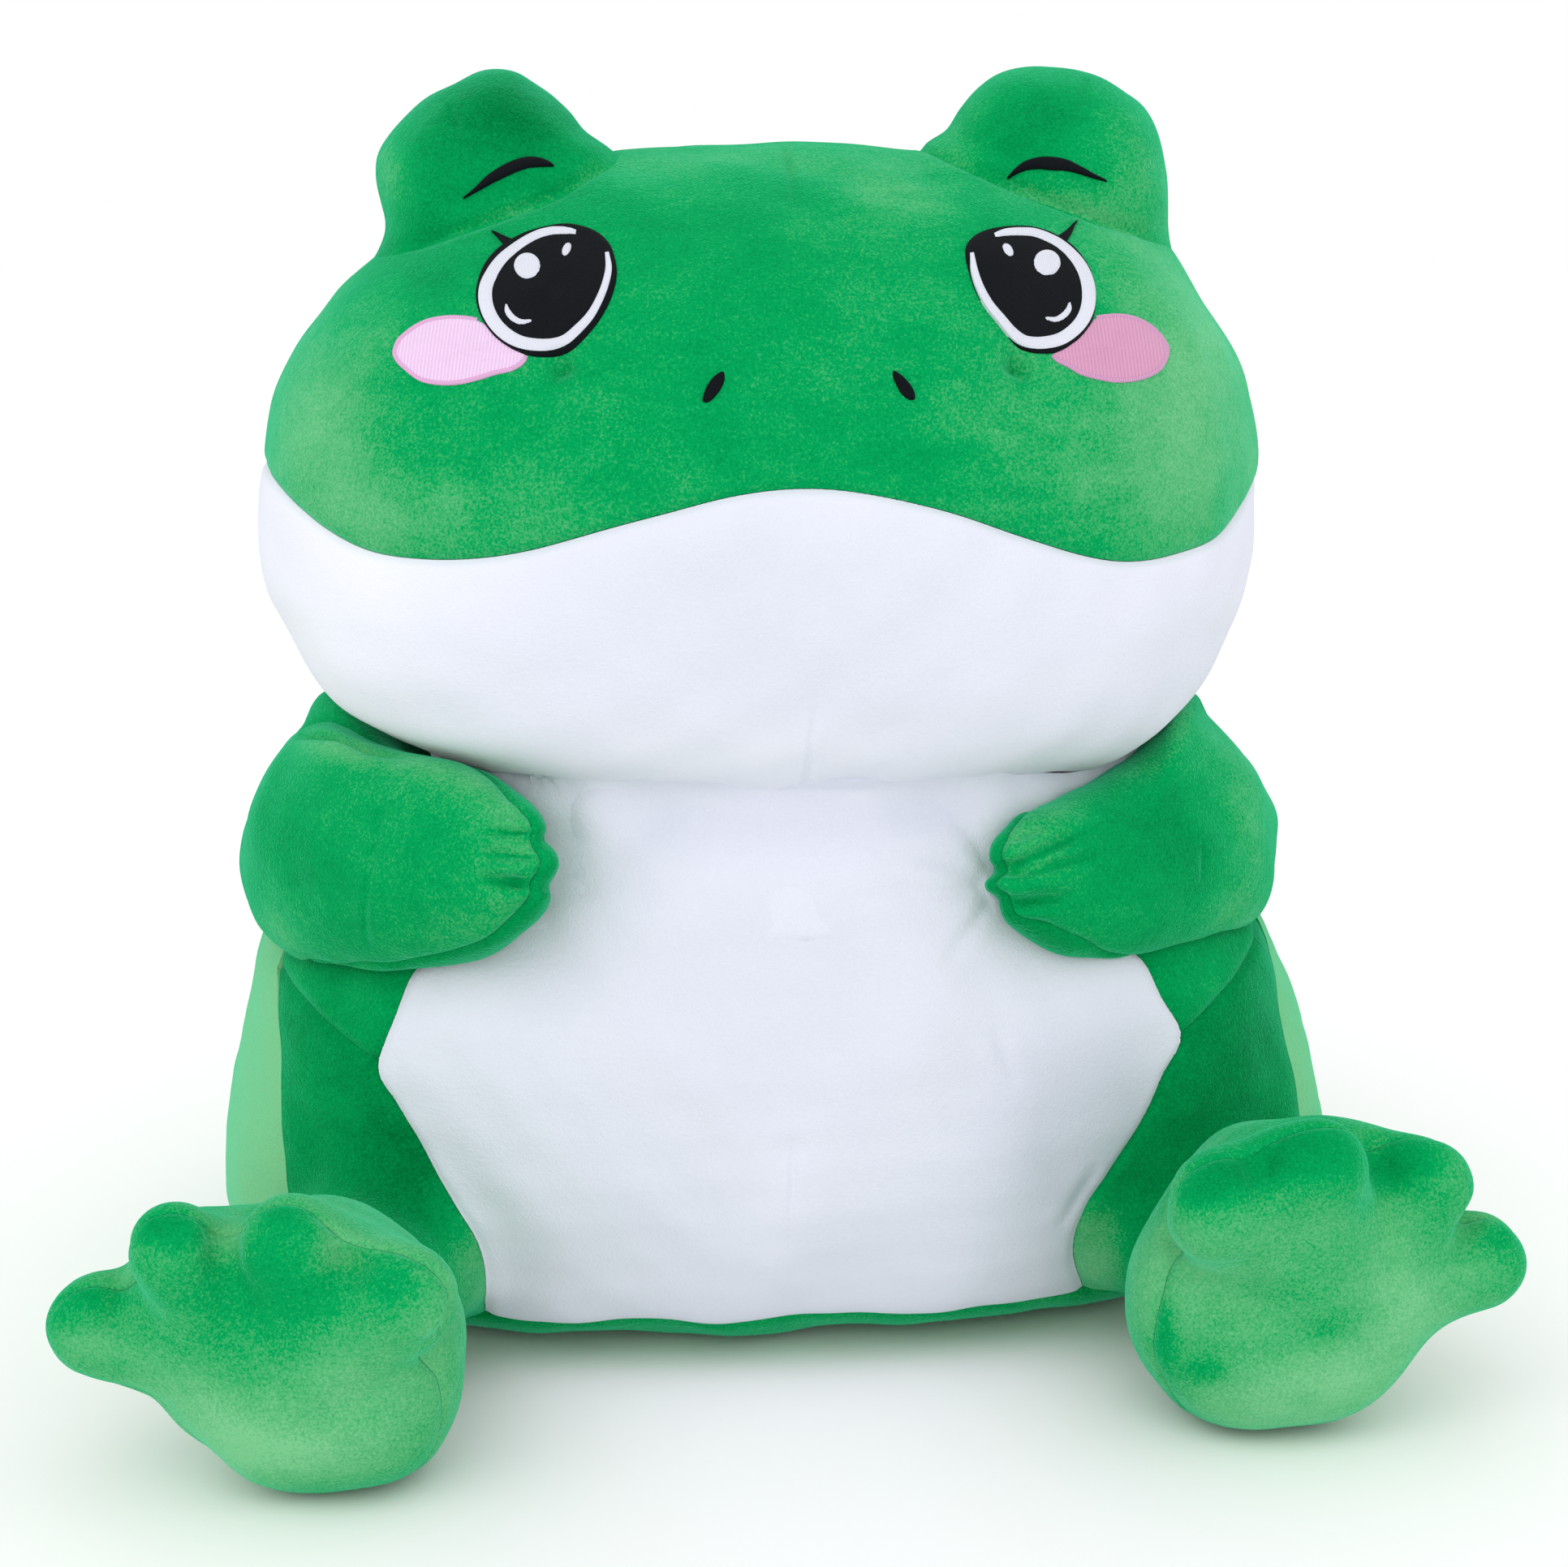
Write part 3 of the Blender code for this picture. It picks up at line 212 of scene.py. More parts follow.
class Globe:
    """A closed form seen from its centre: how far a point stands outside it, nearly."""

    def __init__(self, rows, y_mid, power, shift, centre):
        profile = smooth_rows(rows, 900)
        soft = profile.copy()
        for _ in range(60):
            soft[1:-1] = (soft[:-2] + 2 * soft[1:-1] + soft[2:]) / 4
        keep = np.clip(np.minimum(np.arange(901), 900 - np.arange(901)) / 60.0, 0, 1)[:, None]
        profile = profile + (soft - profile) * keep

        def outside(p):
            z = p[:, 2]
            a = np.interp(z, profile[:, 0], profile[:, 1])
            f = np.interp(z, profile[:, 0], profile[:, 2])
            b = np.interp(z, profile[:, 0], profile[:, 3])
            x, y = np.abs(p[:, 0] - shift(z)), p[:, 1] - y_mid
            d = np.where(y < 0, f, b)
            level = (x / np.maximum(a, 1e-4)) ** power + (np.abs(y) / np.maximum(d, 1e-4)) ** power - 1
            return np.where((z < profile[0, 0]) | (z > profile[-1, 0]), 1.0, level)

        self.centre = np.array(centre, float)
        ne, na = 120, 240
        e = -np.pi / 2 + np.pi * np.arange(ne + 1) / ne
        a = 2 * np.pi * np.arange(na) / na
        ee, aa = np.meshgrid(e, a, indexing="ij")
        rays = np.stack([np.cos(ee) * np.cos(aa), np.cos(ee) * np.sin(aa), np.sin(ee)], -1).reshape(-1, 3)
        low, high = np.zeros(len(rays)), np.full(len(rays), 0.33)
        found, before = np.zeros(len(rays), bool), 0.0
        for i in range(1, 49):
            r = 0.33 * i / 48
            out = (outside(self.centre + rays * r) > 0) & ~found
            low, high = np.where(out, before, low), np.where(out, r, high)
            found |= out
            before = r
        for _ in range(24):
            mid = (low + high) / 2
            out = outside(self.centre + rays * mid[:, None]) > 0
            high, low = np.where(out, mid, high), np.where(out, low, mid)
        grid = ((low + high) / 2).reshape(ne + 1, na)
        grid[0], grid[-1] = grid[0].mean(), grid[-1].mean()
        self.r = finer(finer(grid, 6, 0, False), 6, 1, True)
        self.ne, self.na = ne * 6, na * 6
        slope_e = np.gradient(self.r, axis=0) / (np.pi / self.ne)
        slope_a = (np.roll(self.r, -1, 1) - np.roll(self.r, 1, 1)) / (4 * np.pi / self.na)
        cos_e = np.maximum(np.cos(-np.pi / 2 + np.pi * np.arange(self.ne + 1) / self.ne), 0.05)[:, None]
        self.lean = 1 / np.sqrt(1 + (slope_e / self.r) ** 2 + (slope_a / (self.r * cos_e)) ** 2)

    def __call__(self, p):
        q = p - self.centre
        r = np.linalg.norm(q, axis=-1) + 1e-12
        e = (np.arcsin(np.clip(q[..., 2] / r, -1, 1)) + np.pi / 2) / np.pi * self.ne
        a = np.mod(np.arctan2(q[..., 1], q[..., 0]), 2 * np.pi) / (2 * np.pi) * self.na
        i = np.clip(np.floor(e).astype(int), 0, self.ne - 1)
        whole = np.floor(a).astype(int)
        j = whole % self.na
        u, v, j2 = e - i, a - whole, (j + 1) % self.na

        def read(g):
            return (g[i, j] * (1 - u) + g[i + 1, j] * u) * (1 - v) + (g[i, j2] * (1 - u) + g[i + 1, j2] * u) * v

        return (r - read(self.r)) * read(self.lean)


def pebble(p, centre, radii, power):
    """An ellipsoid with fuller corners."""
    q = p - np.array(centre)
    k = (np.abs(q / np.array(radii)) ** power).sum(-1) ** (1 / power)
    return (k - 1) * np.linalg.norm(q, axis=-1) / np.maximum(k, 1e-3)


class Pillow:
    """A cushion with a given outline in the picture, laid in a plane through two places and as thick as given there."""

    def __init__(self, middle, outline, start, end, thick_start, thick_end, power=2.2):
        self.middle, self.power = middle, power
        ring = curve_through(outline, 360, closed=True) - middle
        angle, reach = np.arctan2(ring[:, 1], ring[:, 0]), np.hypot(ring[:, 0], ring[:, 1])
        order = np.argsort(angle)
        self.angle = np.concatenate([angle[order] - 2 * np.pi, angle[order], angle[order] + 2 * np.pi])
        self.reach = np.tile(reach[order], 3)
        soft = reach[order]
        for _ in range(60):
            soft = (np.roll(soft, 1) + 2 * soft + np.roll(soft, -1)) / 4
        self.soft = np.tile(soft, 3)
        self.start, self.end = np.array(start), np.array(end)
        self.along = self.end - self.start
        self.length = np.linalg.norm(self.along)
        self.along = self.along / self.length
        self.out = BACK - self.along * (BACK @ self.along)
        self.out /= np.linalg.norm(self.out)
        self.up = np.cross(self.out, self.along) * (1 if self.along[0] > 0 else -1)
        self.thick = (thick_start, thick_end)

    def place(self, p):
        """Along, up and outward of the cushion's middle plane."""
        q = p - self.start
        return q @ self.along, q @ self.up, q @ self.out

    def __call__(self, p):
        u, v, far = shown_at(p)
        du, dv = u - self.middle[0], v - self.middle[1]
        rho = np.hypot(du, dv)
        turn = np.arctan2(dv, du)
        reach, soft = np.interp(turn, self.angle, self.reach), np.interp(turn, self.angle, self.soft)
        reach = soft + (reach - soft) * np.clip(rho / soft, 0, 1) ** 3
        s, _, w = self.place(p)
        share = np.clip(s / self.length, -0.8, 1.8)
        deep = self.thick[0] + (self.thick[1] - self.thick[0]) * share
        k = ((rho / reach) ** self.power + (np.abs(w) / deep) ** self.power) ** (1 / self.power)
        size = np.sqrt((rho * far / FOCAL) ** 2 + w**2) / np.maximum(k, 1e-3)
        return (k - 1) * np.where(k < 1e-2, deep, size)


def soft_min(a, b, k):
    h = np.clip(0.5 + 0.5 * (b - a) / k, 0, 1)
    return b * (1 - h) + a * h - k * h * (1 - h)


def soft_max(a, b, k):
    return -soft_min(-a, -b, k)


def ellipsoid(p, centre, radii):
    q, r = p - np.array(centre), np.array(radii)
    k0 = np.sqrt(((q / r) ** 2).sum(-1))
    k1 = np.sqrt(((q / r**2) ** 2).sum(-1)) + 1e-9
    return k0 * (k0 - 1) / k1


def sausage(p, a, b, ra, rb):
    """Two balls and the cone that touches both."""
    a, b = np.array(a, float), np.array(b, float)
    d = b - a
    length2, taper = d @ d, ra - rb
    slant2 = length2 - taper**2
    q = p - a
    y = q @ d
    z = y - length2
    x2 = ((q * length2 - d * y[..., None]) ** 2).sum(-1)
    y2, z2 = y**2 * length2, z**2 * length2
    k = np.sign(taper) * taper**2 * x2
    end = np.sqrt(x2 + z2) / length2 - rb
    start = np.sqrt(x2 + y2) / length2 - ra
    side = (np.sqrt(x2 * slant2 / length2) + y * taper) / length2 - ra
    return np.where(np.sign(z) * slant2 * z2 > k, end, np.where(np.sign(y) * slant2 * y2 < k, start, side))


def ball(p, centre, r):
    return np.linalg.norm(p - np.array(centre), axis=-1) - r


def body_shift(z):
    return BODY_LEAN * (1 - np.clip(z, 0, 0.2) / 0.2) + 0.0012 * np.exp(-(((z - 0.075) / 0.03) ** 2))


def head_shift(z):
    return np.interp(z, (0.20, 0.26, 0.298, 0.334, 0.350, 0.3686, 0.3825, 0.400), (-0.0042, -0.0038, -0.0050, -0.0031, -0.0018, -0.0002, 0.0024, 0.0030))


def turned(p, centre, degrees):
    a = math.radians(degrees)
    q = p - np.array(centre)
    return np.array(centre) + np.stack([q[..., 0] * math.cos(a) - q[..., 1] * math.sin(a), q[..., 0] * math.sin(a) + q[..., 1] * math.cos(a), q[..., 2]], -1)


head_globe = Globe(HEAD_ROWS, HEAD_Y, HEAD_POWER, head_shift, HEAD_CENTRE)
body_globe = Globe(BODY_ROWS, BODY_Y, BODY_POWER, body_shift, BODY_CENTRE)


CHEEK_REST = px(1345, 908, -0.075)


def head_field(p):
    """The head, a little fuller low on the right, where it rests on the arm."""
    return head_globe(p) - 0.0070 * np.exp(-((p - CHEEK_REST) ** 2).sum(-1) / (2 * 0.023**2))


def chest_field(p):
    """The chest and the shoulders, which rise to the underside of the head."""
    return soft_min(ellipsoid(p, (-0.002, -0.044, 0.168), (0.112, 0.077, 0.060)), ellipsoid(p, (0.0, 0.000, 0.180), (0.156, 0.076, 0.056)), 0.02)


CHEST_ROLLS = (  # the chest's fabric pressed up between the chin and each hand
    (px(735, 990, -0.092), 0.0110, px(570, 955, -0.054), 0.0130), (px(1215, 985, -0.088), 0.0110, px(1385, 940, -0.050), 0.0130),
)


def body_field(p):
    return soft_min(body_globe(p), chest_field(p), 0.018)


def drape(p):
    """How far the chest's fabric runs up the chin: most at the middle of the front."""
    return 0.016 * np.clip((-0.03 - p[..., 1]) / 0.05, 0.12, 1) * np.clip((0.094 - np.abs(p[..., 0])) / 0.042, 0.10, 1)


def leg_field(side):
    leg = LEGS[side]

    def field(p):
        d = sausage(p, leg["hip"], leg["ankle"], leg["hip_r"] + 0.002, leg["ankle_r"])
        return soft_min(d, ball(p, leg["hip"], HIP_R), 0.008)

    return field


leg_fields = {side: leg_field(side) for side in ("left", "right")}


def trunk_field(p):
    d = soft_min(body_field(p), leg_fields["left"](p), 0.016)
    d = soft_min(d, leg_fields["right"](p), 0.016)
    for roll in CHEST_ROLLS:
        d = soft_min(d, sausage(p, roll[0], roll[2], roll[1], roll[3]), 0.014)
    d = soft_min(d, head_globe(p), drape(p))
    return soft_max(d, -p[..., 2] + 0.0002, 0.004)


BUMP_SHAPES = {  # centre in the picture, depth there, half depth, outline
    "left": ((606, 232), -0.024, 0.0425, ((762, 236), (762, 203), (750, 181), (721, 158), (704, 137), (684, 117), (660, 101), (638, 90), (616, 86), (590, 88), (560, 100), (532, 115),
                                        (506, 138), (482, 166), (467, 192), (464, 218), (469, 250), (475, 280), (478, 310), (500, 350), (560, 380), (640, 380), (710, 340), (745, 290))),
    "right": ((1304, 226), -0.024, 0.0425, ((1438, 230), (1436, 205), (1430, 165), (1410, 127), (1387, 109), (1360, 95), (1330, 87), (1300, 83), (1270, 81), (1245, 85), (1225, 94), (1204, 112),
                                           (1186, 136), (1169, 161), (1140, 179), (1136, 204), (1146, 240), (1165, 290), (1200, 335), (1260, 370), (1340, 370), (1400, 345), (1430, 305), (1438, 270))),
}


def bump_field(side):
    middle, y, deep, outline = BUMP_SHAPES[side]
    centre = px(*middle, y)
    return Pillow(middle, outline, centre, centre + RIGHT * 0.03, deep, deep)


ARM_SWING = (15.0, 30.0, 45.0, 60.0)


ARM_SHAPES = {  # the forearm's cushion: middle and outline in the picture, elbow and hand with their half thickness; the shoulder's top
    "left": dict(
        middle=(478, 1062), elbow=px(420, 1062, -0.046), hand=px(600, 1066, -0.100), thick=(0.0365, 0.0270), top=px(452, 913, -0.003), top_r=0.0225, inner=px(436, 1030, -0.036), inner_r=0.0330,
        outline=((366, 903), (345, 924), (328, 947), (309, 990), (299, 1031), (296, 1064), (301, 1106), (315, 1141), (343, 1173), (385, 1193), (420, 1201), (462, 1205), (504, 1200), (561, 1189),
                 (601, 1177), (636, 1154), (660, 1132), (674, 1113), (677, 1103), (673, 1094), (681, 1080), (686, 1064), (681, 1050), (668, 1035), (672, 1020), (666, 1004), (653, 990), (631, 974),
                 (605, 957), (577, 944), (541, 930), (513, 922), (476, 915), (448, 909), (426, 901), (400, 896)),
    ),
    "right": dict(
        middle=(1418, 1050), elbow=px(1465, 1040, -0.046), hand=px(1300, 1080, -0.098), thick=(0.0375, 0.0260), top=px(1409, 902, -0.005), top_r=0.0225, inner=px(1440, 1010, -0.036), inner_r=0.0330,
        outline=((1474, 855), (1486, 881), (1509, 909), (1534, 931), (1549, 951), (1562, 977), (1573, 1004), (1578, 1034), (1578, 1066), (1573, 1092), (1561, 1119), (1538, 1147), (1498, 1165),
                 (1458, 1176), (1418, 1185), (1377, 1187), (1337, 1182), (1297, 1171), (1265, 1153), (1240, 1135), (1233, 1119), (1231, 1107), (1216, 1096), (1214, 1088), (1226, 1072), (1219, 1060),
                 (1221, 1042), (1240, 1018), (1257, 1002), (1310, 977), (1364, 948), (1402, 926), (1432, 895), (1455, 862)),
    ),
}
arm_pillows = {side: Pillow(a["middle"], a["outline"], a["elbow"], a["hand"], *a["thick"], power=2.3) for side, a in ARM_SHAPES.items()}


def arm_field(side):
    shape = ARM_SHAPES[side]
    pivot = ARMS[side]["shoulder"]

    def field(p):
        d = arm_pillows[side](p)
        d = soft_min(d, sausage(p, shape["top"], shape["inner"], shape["top_r"], shape["inner_r"]), 0.004)
        d = soft_min(d, sausage(p, pivot, shape["inner"], SHOULDER_R, shape["inner_r"]), 0.012)
        near = np.linalg.norm(p - np.array(pivot), axis=-1) < 0.045
        d = np.where(near, d, soft_max(d, -(body_field(p) - 0.0002), 0.005))
        for swing in ARM_SWING:
            d = soft_max(d, -(body_globe(turned(p, pivot, swing if side == "right" else -swing)) - 0.0012), 0.011)
        return soft_max(d, -(head_globe(p) - 0.0006), 0.006)

    return field


FOOT_SHAPES = {  # fabric-covered balls: place, radius; the foot's lower ball and its back, then the toes from root to tip, and the toe that hangs over
    "left": dict(
        ball=(px(402, 1690, -0.156), (0.0418, 0.0320, 0.0362)),
        back=((px(258, 1567, -0.146), 0.0205), (px(402, 1576, -0.142), 0.0243), (px(452, 1620, -0.140), 0.0268)),
        toes=((px(262, 1656, -0.152), 0.0200, px(120, 1632, -0.152), 0.0142), (px(300, 1612, -0.160), 0.0178, px(217, 1545, -0.171), 0.0155),
              (px(380, 1620, -0.165), 0.0180, px(358, 1543, -0.174), 0.0172), (px(440, 1728, -0.156), 0.0215, px(462, 1740, -0.152), 0.0185),
              (px(332, 1690, -0.152), 0.0225, px(268, 1702, -0.150), 0.0158)),
        over=(px(430, 1640, -0.164), 0.0185, px(497, 1600, -0.183), 0.0162), web=(0.013, 0.007, 0.006, 0.006),
    ),
    "right": dict(
        ball=(px(1566, 1617, -0.148), (0.0462, 0.0320, 0.0380)),
        back=((px(1560, 1497, -0.134), 0.0318), (px(1640, 1496, -0.136), 0.0290), (px(1514, 1574, -0.132), 0.0285)),
        toes=((px(1600, 1520, -0.158), 0.0190, px(1620, 1438, -0.172), 0.0174), (px(1705, 1500, -0.148), 0.0180, px(1756, 1459, -0.154), 0.0151),
              (px(1694, 1570, -0.148), 0.0193, px(1817, 1550, -0.147), 0.0157)),
        over=(px(1554, 1548, -0.154), 0.0185, px(1500, 1491, -0.174), 0.0166), web=(0.008, 0.006),
    ),
}


def foot_field(side):
    shape = FOOT_SHAPES[side]
    (a, ra), (b, rb), (c, rc) = shape["back"]

    def field(p):
        d = soft_min(sausage(p, a, b, ra, rb), sausage(p, b, c, rb, rc), 0.010)
        d = soft_min(pebble(p, *shape["ball"], 2.2), d, 0.020)
        toes = sausage(p, *[shape["toes"][0][i] for i in (0, 2, 1, 3)])
        for (root, root_r, tip, tip_r), web in zip(shape["toes"][1:], shape["web"]):
            toes = soft_min(toes, sausage(p, root, tip, root_r, tip_r), web)
        root, root_r, tip, tip_r = shape["over"]
        under = np.clip(((p[..., 0] - tip[0]) * (1 if side == "left" else -1) - (p[..., 2] - tip[2])) / 0.018, 0, 1)
        d = soft_min(soft_min(d, toes, 0.018), sausage(p, root, tip, root_r, tip_r), 0.024 - 0.017 * under)
        return soft_max(d, FLOOR_CLEAR - p[..., 2], 0.004)

    return field


# =====================================================================
# nets over forms
# =====================================================================
def gradient(field, p, e=3e-4):
    g = np.empty_like(p)
    for k in range(3):
        step = np.zeros(3)
        step[k] = e
        g[:, k] = (field(p + step) - field(p - step)) / (2 * e)
    return g


def onto(field, p, steps=2):
    for _ in range(steps):
        g = gradient(field, p)
        p = p - g * (np.clip(field(p), -0.003, 0.003) / np.maximum((g**2).sum(1), 0.05))[:, None]
    return p


def skin_net(field, low, high, cell):
    """A closed net of even cells over the form that field is negative in."""
    low, high = np.array(low, float), np.array(high, float)
    n = np.ceil((high - low) / cell).astype(int) + 1
    axes = [low[k] + np.arange(n[k]) * cell for k in range(3)]
    yy, zz = np.meshgrid(axes[1], axes[2], indexing="ij")
    value = np.empty(tuple(n))
    for i in range(0, n[0], 6):
        xs = axes[0][i : i + 6]
        p = np.empty((len(xs),) + yy.shape + (3,))
        p[..., 0] = xs[:, None, None]
        p[..., 1], p[..., 2] = yy, zz
        value[i : i + 6] = field(p.reshape(-1, 3)).reshape(len(xs), n[1], n[2])
    inside = value < 0
    corner = [(a, b, c) for a in (0, 1) for b in (0, 1) for c in (0, 1)]
    total = sum(inside[a : n[0] - 1 + a, b : n[1] - 1 + b, c : n[2] - 1 + c].astype(np.int8) for a, b, c in corner)
    cells = np.argwhere((total > 0) & (total < 8))
    number = np.full(tuple(n - 1), -1, np.int64)
    number[cells[:, 0], cells[:, 1], cells[:, 2]] = np.arange(len(cells))
    place, count = np.zeros((len(cells), 3)), np.zeros(len(cells))
    for axis in range(3):
        others = [k for k in range(3) if k != axis]
        for b in (0, 1):
            for c in (0, 1):
                offset = np.zeros(3, int)
                offset[others[0]], offset[others[1]] = b, c
                a0 = cells + offset
                a1 = a0.copy()
                a1[:, axis] += 1
                v0, v1 = value[tuple(a0.T)], value[tuple(a1.T)]
                cross = (v0 < 0) != (v1 < 0)
                t = np.where(cross, v0 / np.where(cross, v0 - v1, 1.0), 0.0)
                q = a0.astype(float)
                q[:, axis] += t
                place += np.where(cross[:, None], q, 0.0)
                count += cross
    points = low + place / count[:, None] * cell
    quads = []
    for axis in range(3):
        b, c = [k for k in range(3) if k != axis]
        first = [slice(None)] * 3
        second = [slice(None)] * 3
        first[axis], second[axis] = slice(0, n[axis] - 1), slice(1, n[axis])
        change = inside[tuple(first)] != inside[tuple(second)]
        at = np.argwhere(change)
        at = at[(at[:, b] > 0) & (at[:, b] < n[b] - 1) & (at[:, c] > 0) & (at[:, c] < n[c] - 1)]
        ids = []
        for ob, oc in ((0, 0), (-1, 0), (-1, -1), (0, -1)):
            q = at.copy()
            q[:, b] += ob
            q[:, c] += oc
            ids.append(number[tuple(q.T)])
        quad = np.stack(ids, 1)
        flip = inside[tuple(at.T)] != (axis == 1)
        quad[flip] = quad[flip][:, ::-1]
        quads.append(quad)
    quads = np.concatenate(quads)[:, ::-1]
    d1 = np.linalg.norm(points[quads[:, 0]] - points[quads[:, 2]], axis=1)
    d2 = np.linalg.norm(points[quads[:, 1]] - points[quads[:, 3]], axis=1)
    a = quads[d1 <= d2]
    c = quads[d1 > d2]
    faces = np.concatenate([a[:, [0, 1, 2]], a[:, [0, 2, 3]], c[:, [0, 1, 3]], c[:, [1, 2, 3]]])
    return points, faces


def edge_ends(faces):
    return np.concatenate([faces[:, [0, 1]], faces[:, [1, 2]], faces[:, [2, 0]]])


def averaged(values, faces, share=1.0):
    """Each point's value drawn towards the mean of its neighbours'."""
    e = edge_ends(faces)
    n = len(values)
    weight = np.bincount(e[:, 0], minlength=n) + np.bincount(e[:, 1], minlength=n)
    flat = values.reshape(n, -1)
    total = np.stack([np.bincount(e[:, 0], flat[e[:, 1], k], n) + np.bincount(e[:, 1], flat[e[:, 0], k], n) for k in range(flat.shape[1])], 1)
    mean = (total / np.maximum(weight, 1)[:, None]).reshape(values.shape)
    return values + (mean - values) * share


def refined(points, faces, near):
    """Splits the edges whose two ends are near, and the triangles on them."""
    e = np.sort(edge_ends(faces), axis=1)
    unique, back = np.unique(e, axis=0, return_inverse=True)
    marked = near[unique[:, 0]] & near[unique[:, 1]]
    number = np.where(marked, len(points) + np.cumsum(marked) - 1, -1)
    points = np.concatenate([points, (points[unique[marked, 0]] + points[unique[marked, 1]]) / 2])
    m = number[back.reshape(-1)].reshape(3, -1).T
    count = (m >= 0).sum(1)
    out = [faces[count == 0]]
    f, k = faces[count == 3], m[count == 3]
    out += [np.stack([f[:, 0], k[:, 0], k[:, 2]], 1), np.stack([k[:, 0], f[:, 1], k[:, 1]], 1), np.stack([k[:, 2], k[:, 1], f[:, 2]], 1), k]
    for turn in range(3):
        order = [turn, (turn + 1) % 3, (turn + 2) % 3]
        f, k = faces[:, order], m[:, order]
        one = (count == 1) & (k[:, 0] >= 0)
        a, b = f[one], k[one]
        out += [np.stack([a[:, 0], b[:, 0], a[:, 2]], 1), np.stack([b[:, 0], a[:, 1], a[:, 2]], 1)]
        two = (count == 2) & (k[:, 2] < 0)
        a, b = f[two], k[two]
        out += [np.stack([b[:, 0], a[:, 1], b[:, 1]], 1), np.stack([a[:, 0], b[:, 0], b[:, 1]], 1), np.stack([a[:, 0], b[:, 1], a[:, 2]], 1)]
    return points, np.concatenate(out)


def settle_on_seams(points, faces, seams):
    points = points.copy()
    held = np.zeros(len(points), bool)
    edges = edge_ends(faces)
    for seam in seams:
        value = seam(points)
        near = np.abs(value) < 0.006
        some = edges[near[edges[:, 0]] & near[edges[:, 1]]]
        ends = np.concatenate([some, some[:, ::-1]])
        va, vb = value[ends[:, 0]], value[ends[:, 1]]
        t = np.where(va * vb < 0, va / (va - vb + 1e-30), 9.0)
        for e in np.argsort(t, kind="stable"):
            if t[e] > 0.36:
                break
            a, b = ends[e]
            if not held[a]:
                points[a] += (points[b] - points[a]) * t[e]
                held[a] = True
    return points


def cut_to(points, carry, faces, v):
    """Keeps the side where v is above zero. carry is a table with one row for each point."""
    v = np.where(np.abs(v) < 4e-6, 0.0, v)
    fv = v[faces]
    keep = (fv >= 0).all(1) & (fv > 0).any(1)
    mixed = faces[(fv > 0).any(1) & (fv < 0).any(1)]
    new_points, new_rows, made, out = [], [], {}, []

    def crossing(a, b):
        a, b = (a, b) if a < b else (b, a)
        if (a, b) not in made:
            t = v[a] / (v[a] - v[b])
            made[a, b] = len(points) + len(new_points)
            new_points.append(points[a] + (points[b] - points[a]) * t)
            new_rows.append(carry[a] + (carry[b] - carry[a]) * t)
        return made[a, b]

    for face in mixed.tolist():
        ring = []
        for i in range(3):
            a, b = face[i], face[(i + 1) % 3]
            if v[a] >= 0:
                ring.append(a)
            if v[a] * v[b] < 0:
                ring.append(crossing(a, b))
        for i in range(1, len(ring) - 1):
            out.append((ring[0], ring[i], ring[i + 1]))
    faces = np.concatenate([faces[keep], np.array(out, int).reshape(-1, 3)])
    if new_points:
        points = np.concatenate([points, np.array(new_points)])
        carry = np.concatenate([carry, np.array(new_rows)])
    used, index = np.unique(faces, return_inverse=True)
    return points[used], carry[used], index.reshape(-1, 3)


def swell(p, wave, seed, count=12):
    """Smooth unevenness, the same at each run."""
    rng = np.random.RandomState(seed)
    total = np.zeros(len(p))
    for _ in range(count):
        d = rng.normal(size=3)
        d /= np.linalg.norm(d)
        total += np.sin(p @ d * 2 * np.pi / (wave * rng.uniform(0.7, 1.6)) + rng.uniform(0, 2 * np.pi))
    return total / math.sqrt(count / 2)


def near_line(p, line):
    """Distance to a broken line and how far along it, from 0 to 1."""
    line = np.asarray(line, float)
    run = np.linalg.norm(np.diff(line, axis=0), axis=1)
    start = np.concatenate([[0], np.cumsum(run)]) / run.sum()
    best, along = np.full(len(p), 9.0), np.zeros(len(p))
    for i in range(len(line) - 1):
        d = line[i + 1] - line[i]
        h = np.clip(((p - line[i]) @ d) / (d @ d), 0, 1)
        dist = np.linalg.norm(p - line[i] - h[:, None] * d, axis=1)
        closer = dist < best
        best = np.where(closer, dist, best)
        along = np.where(closer, start[i] + (start[i + 1] - start[i]) * h, along)
    return best, along


class Crease:
    """A fold pressed into the fabric along a line, deepest where deep is, in shares of its length."""

    def __init__(self, line, depth, width, deep=0.5, lip=0.3):
        self.line, self.depth, self.width, self.deep, self.lip = np.asarray(line, float), depth, width, deep, lip
        self.centre = self.line.mean(0)
        self.reach = np.linalg.norm(self.line - self.centre, axis=1).max() + width * 5

    def distance(self, p):
        out = np.full(len(p), 0.05)
        close = np.linalg.norm(p - self.centre, axis=1) < self.reach + 0.01
        if close.any():
            out[close] = near_line(p[close], self.line)[0]
        return out

    def __call__(self, p):
        out = np.zeros(len(p))
        close = np.linalg.norm(p - self.centre, axis=1) < self.reach
        if close.any():
            d, t = near_line(p[close], self.line)
            far = np.where(t < self.deep, (self.deep - t) / max(self.deep, 1e-6), (t - self.deep) / max(1 - self.deep, 1e-6))
            share = np.clip(1 - far**2, 0, 1)
            w = self.width
            out[close] = self.depth * share * (-np.exp(-((d / w) ** 2)) + self.lip * np.exp(-(((d - 2.1 * w) / (1.2 * w)) ** 2)))
        return out


class Dent:
    def __init__(self, at, radius, depth):
        self.at, self.radius, self.depth = np.asarray(at, float).reshape(3), radius, depth

    def distance(self, p):
        return np.maximum(np.linalg.norm(p - self.at, axis=1) - self.radius * 0.7, 0)

    def __call__(self, p):
        return -self.depth * np.exp(-((np.linalg.norm(p - self.at, axis=1) / self.radius) ** 2))


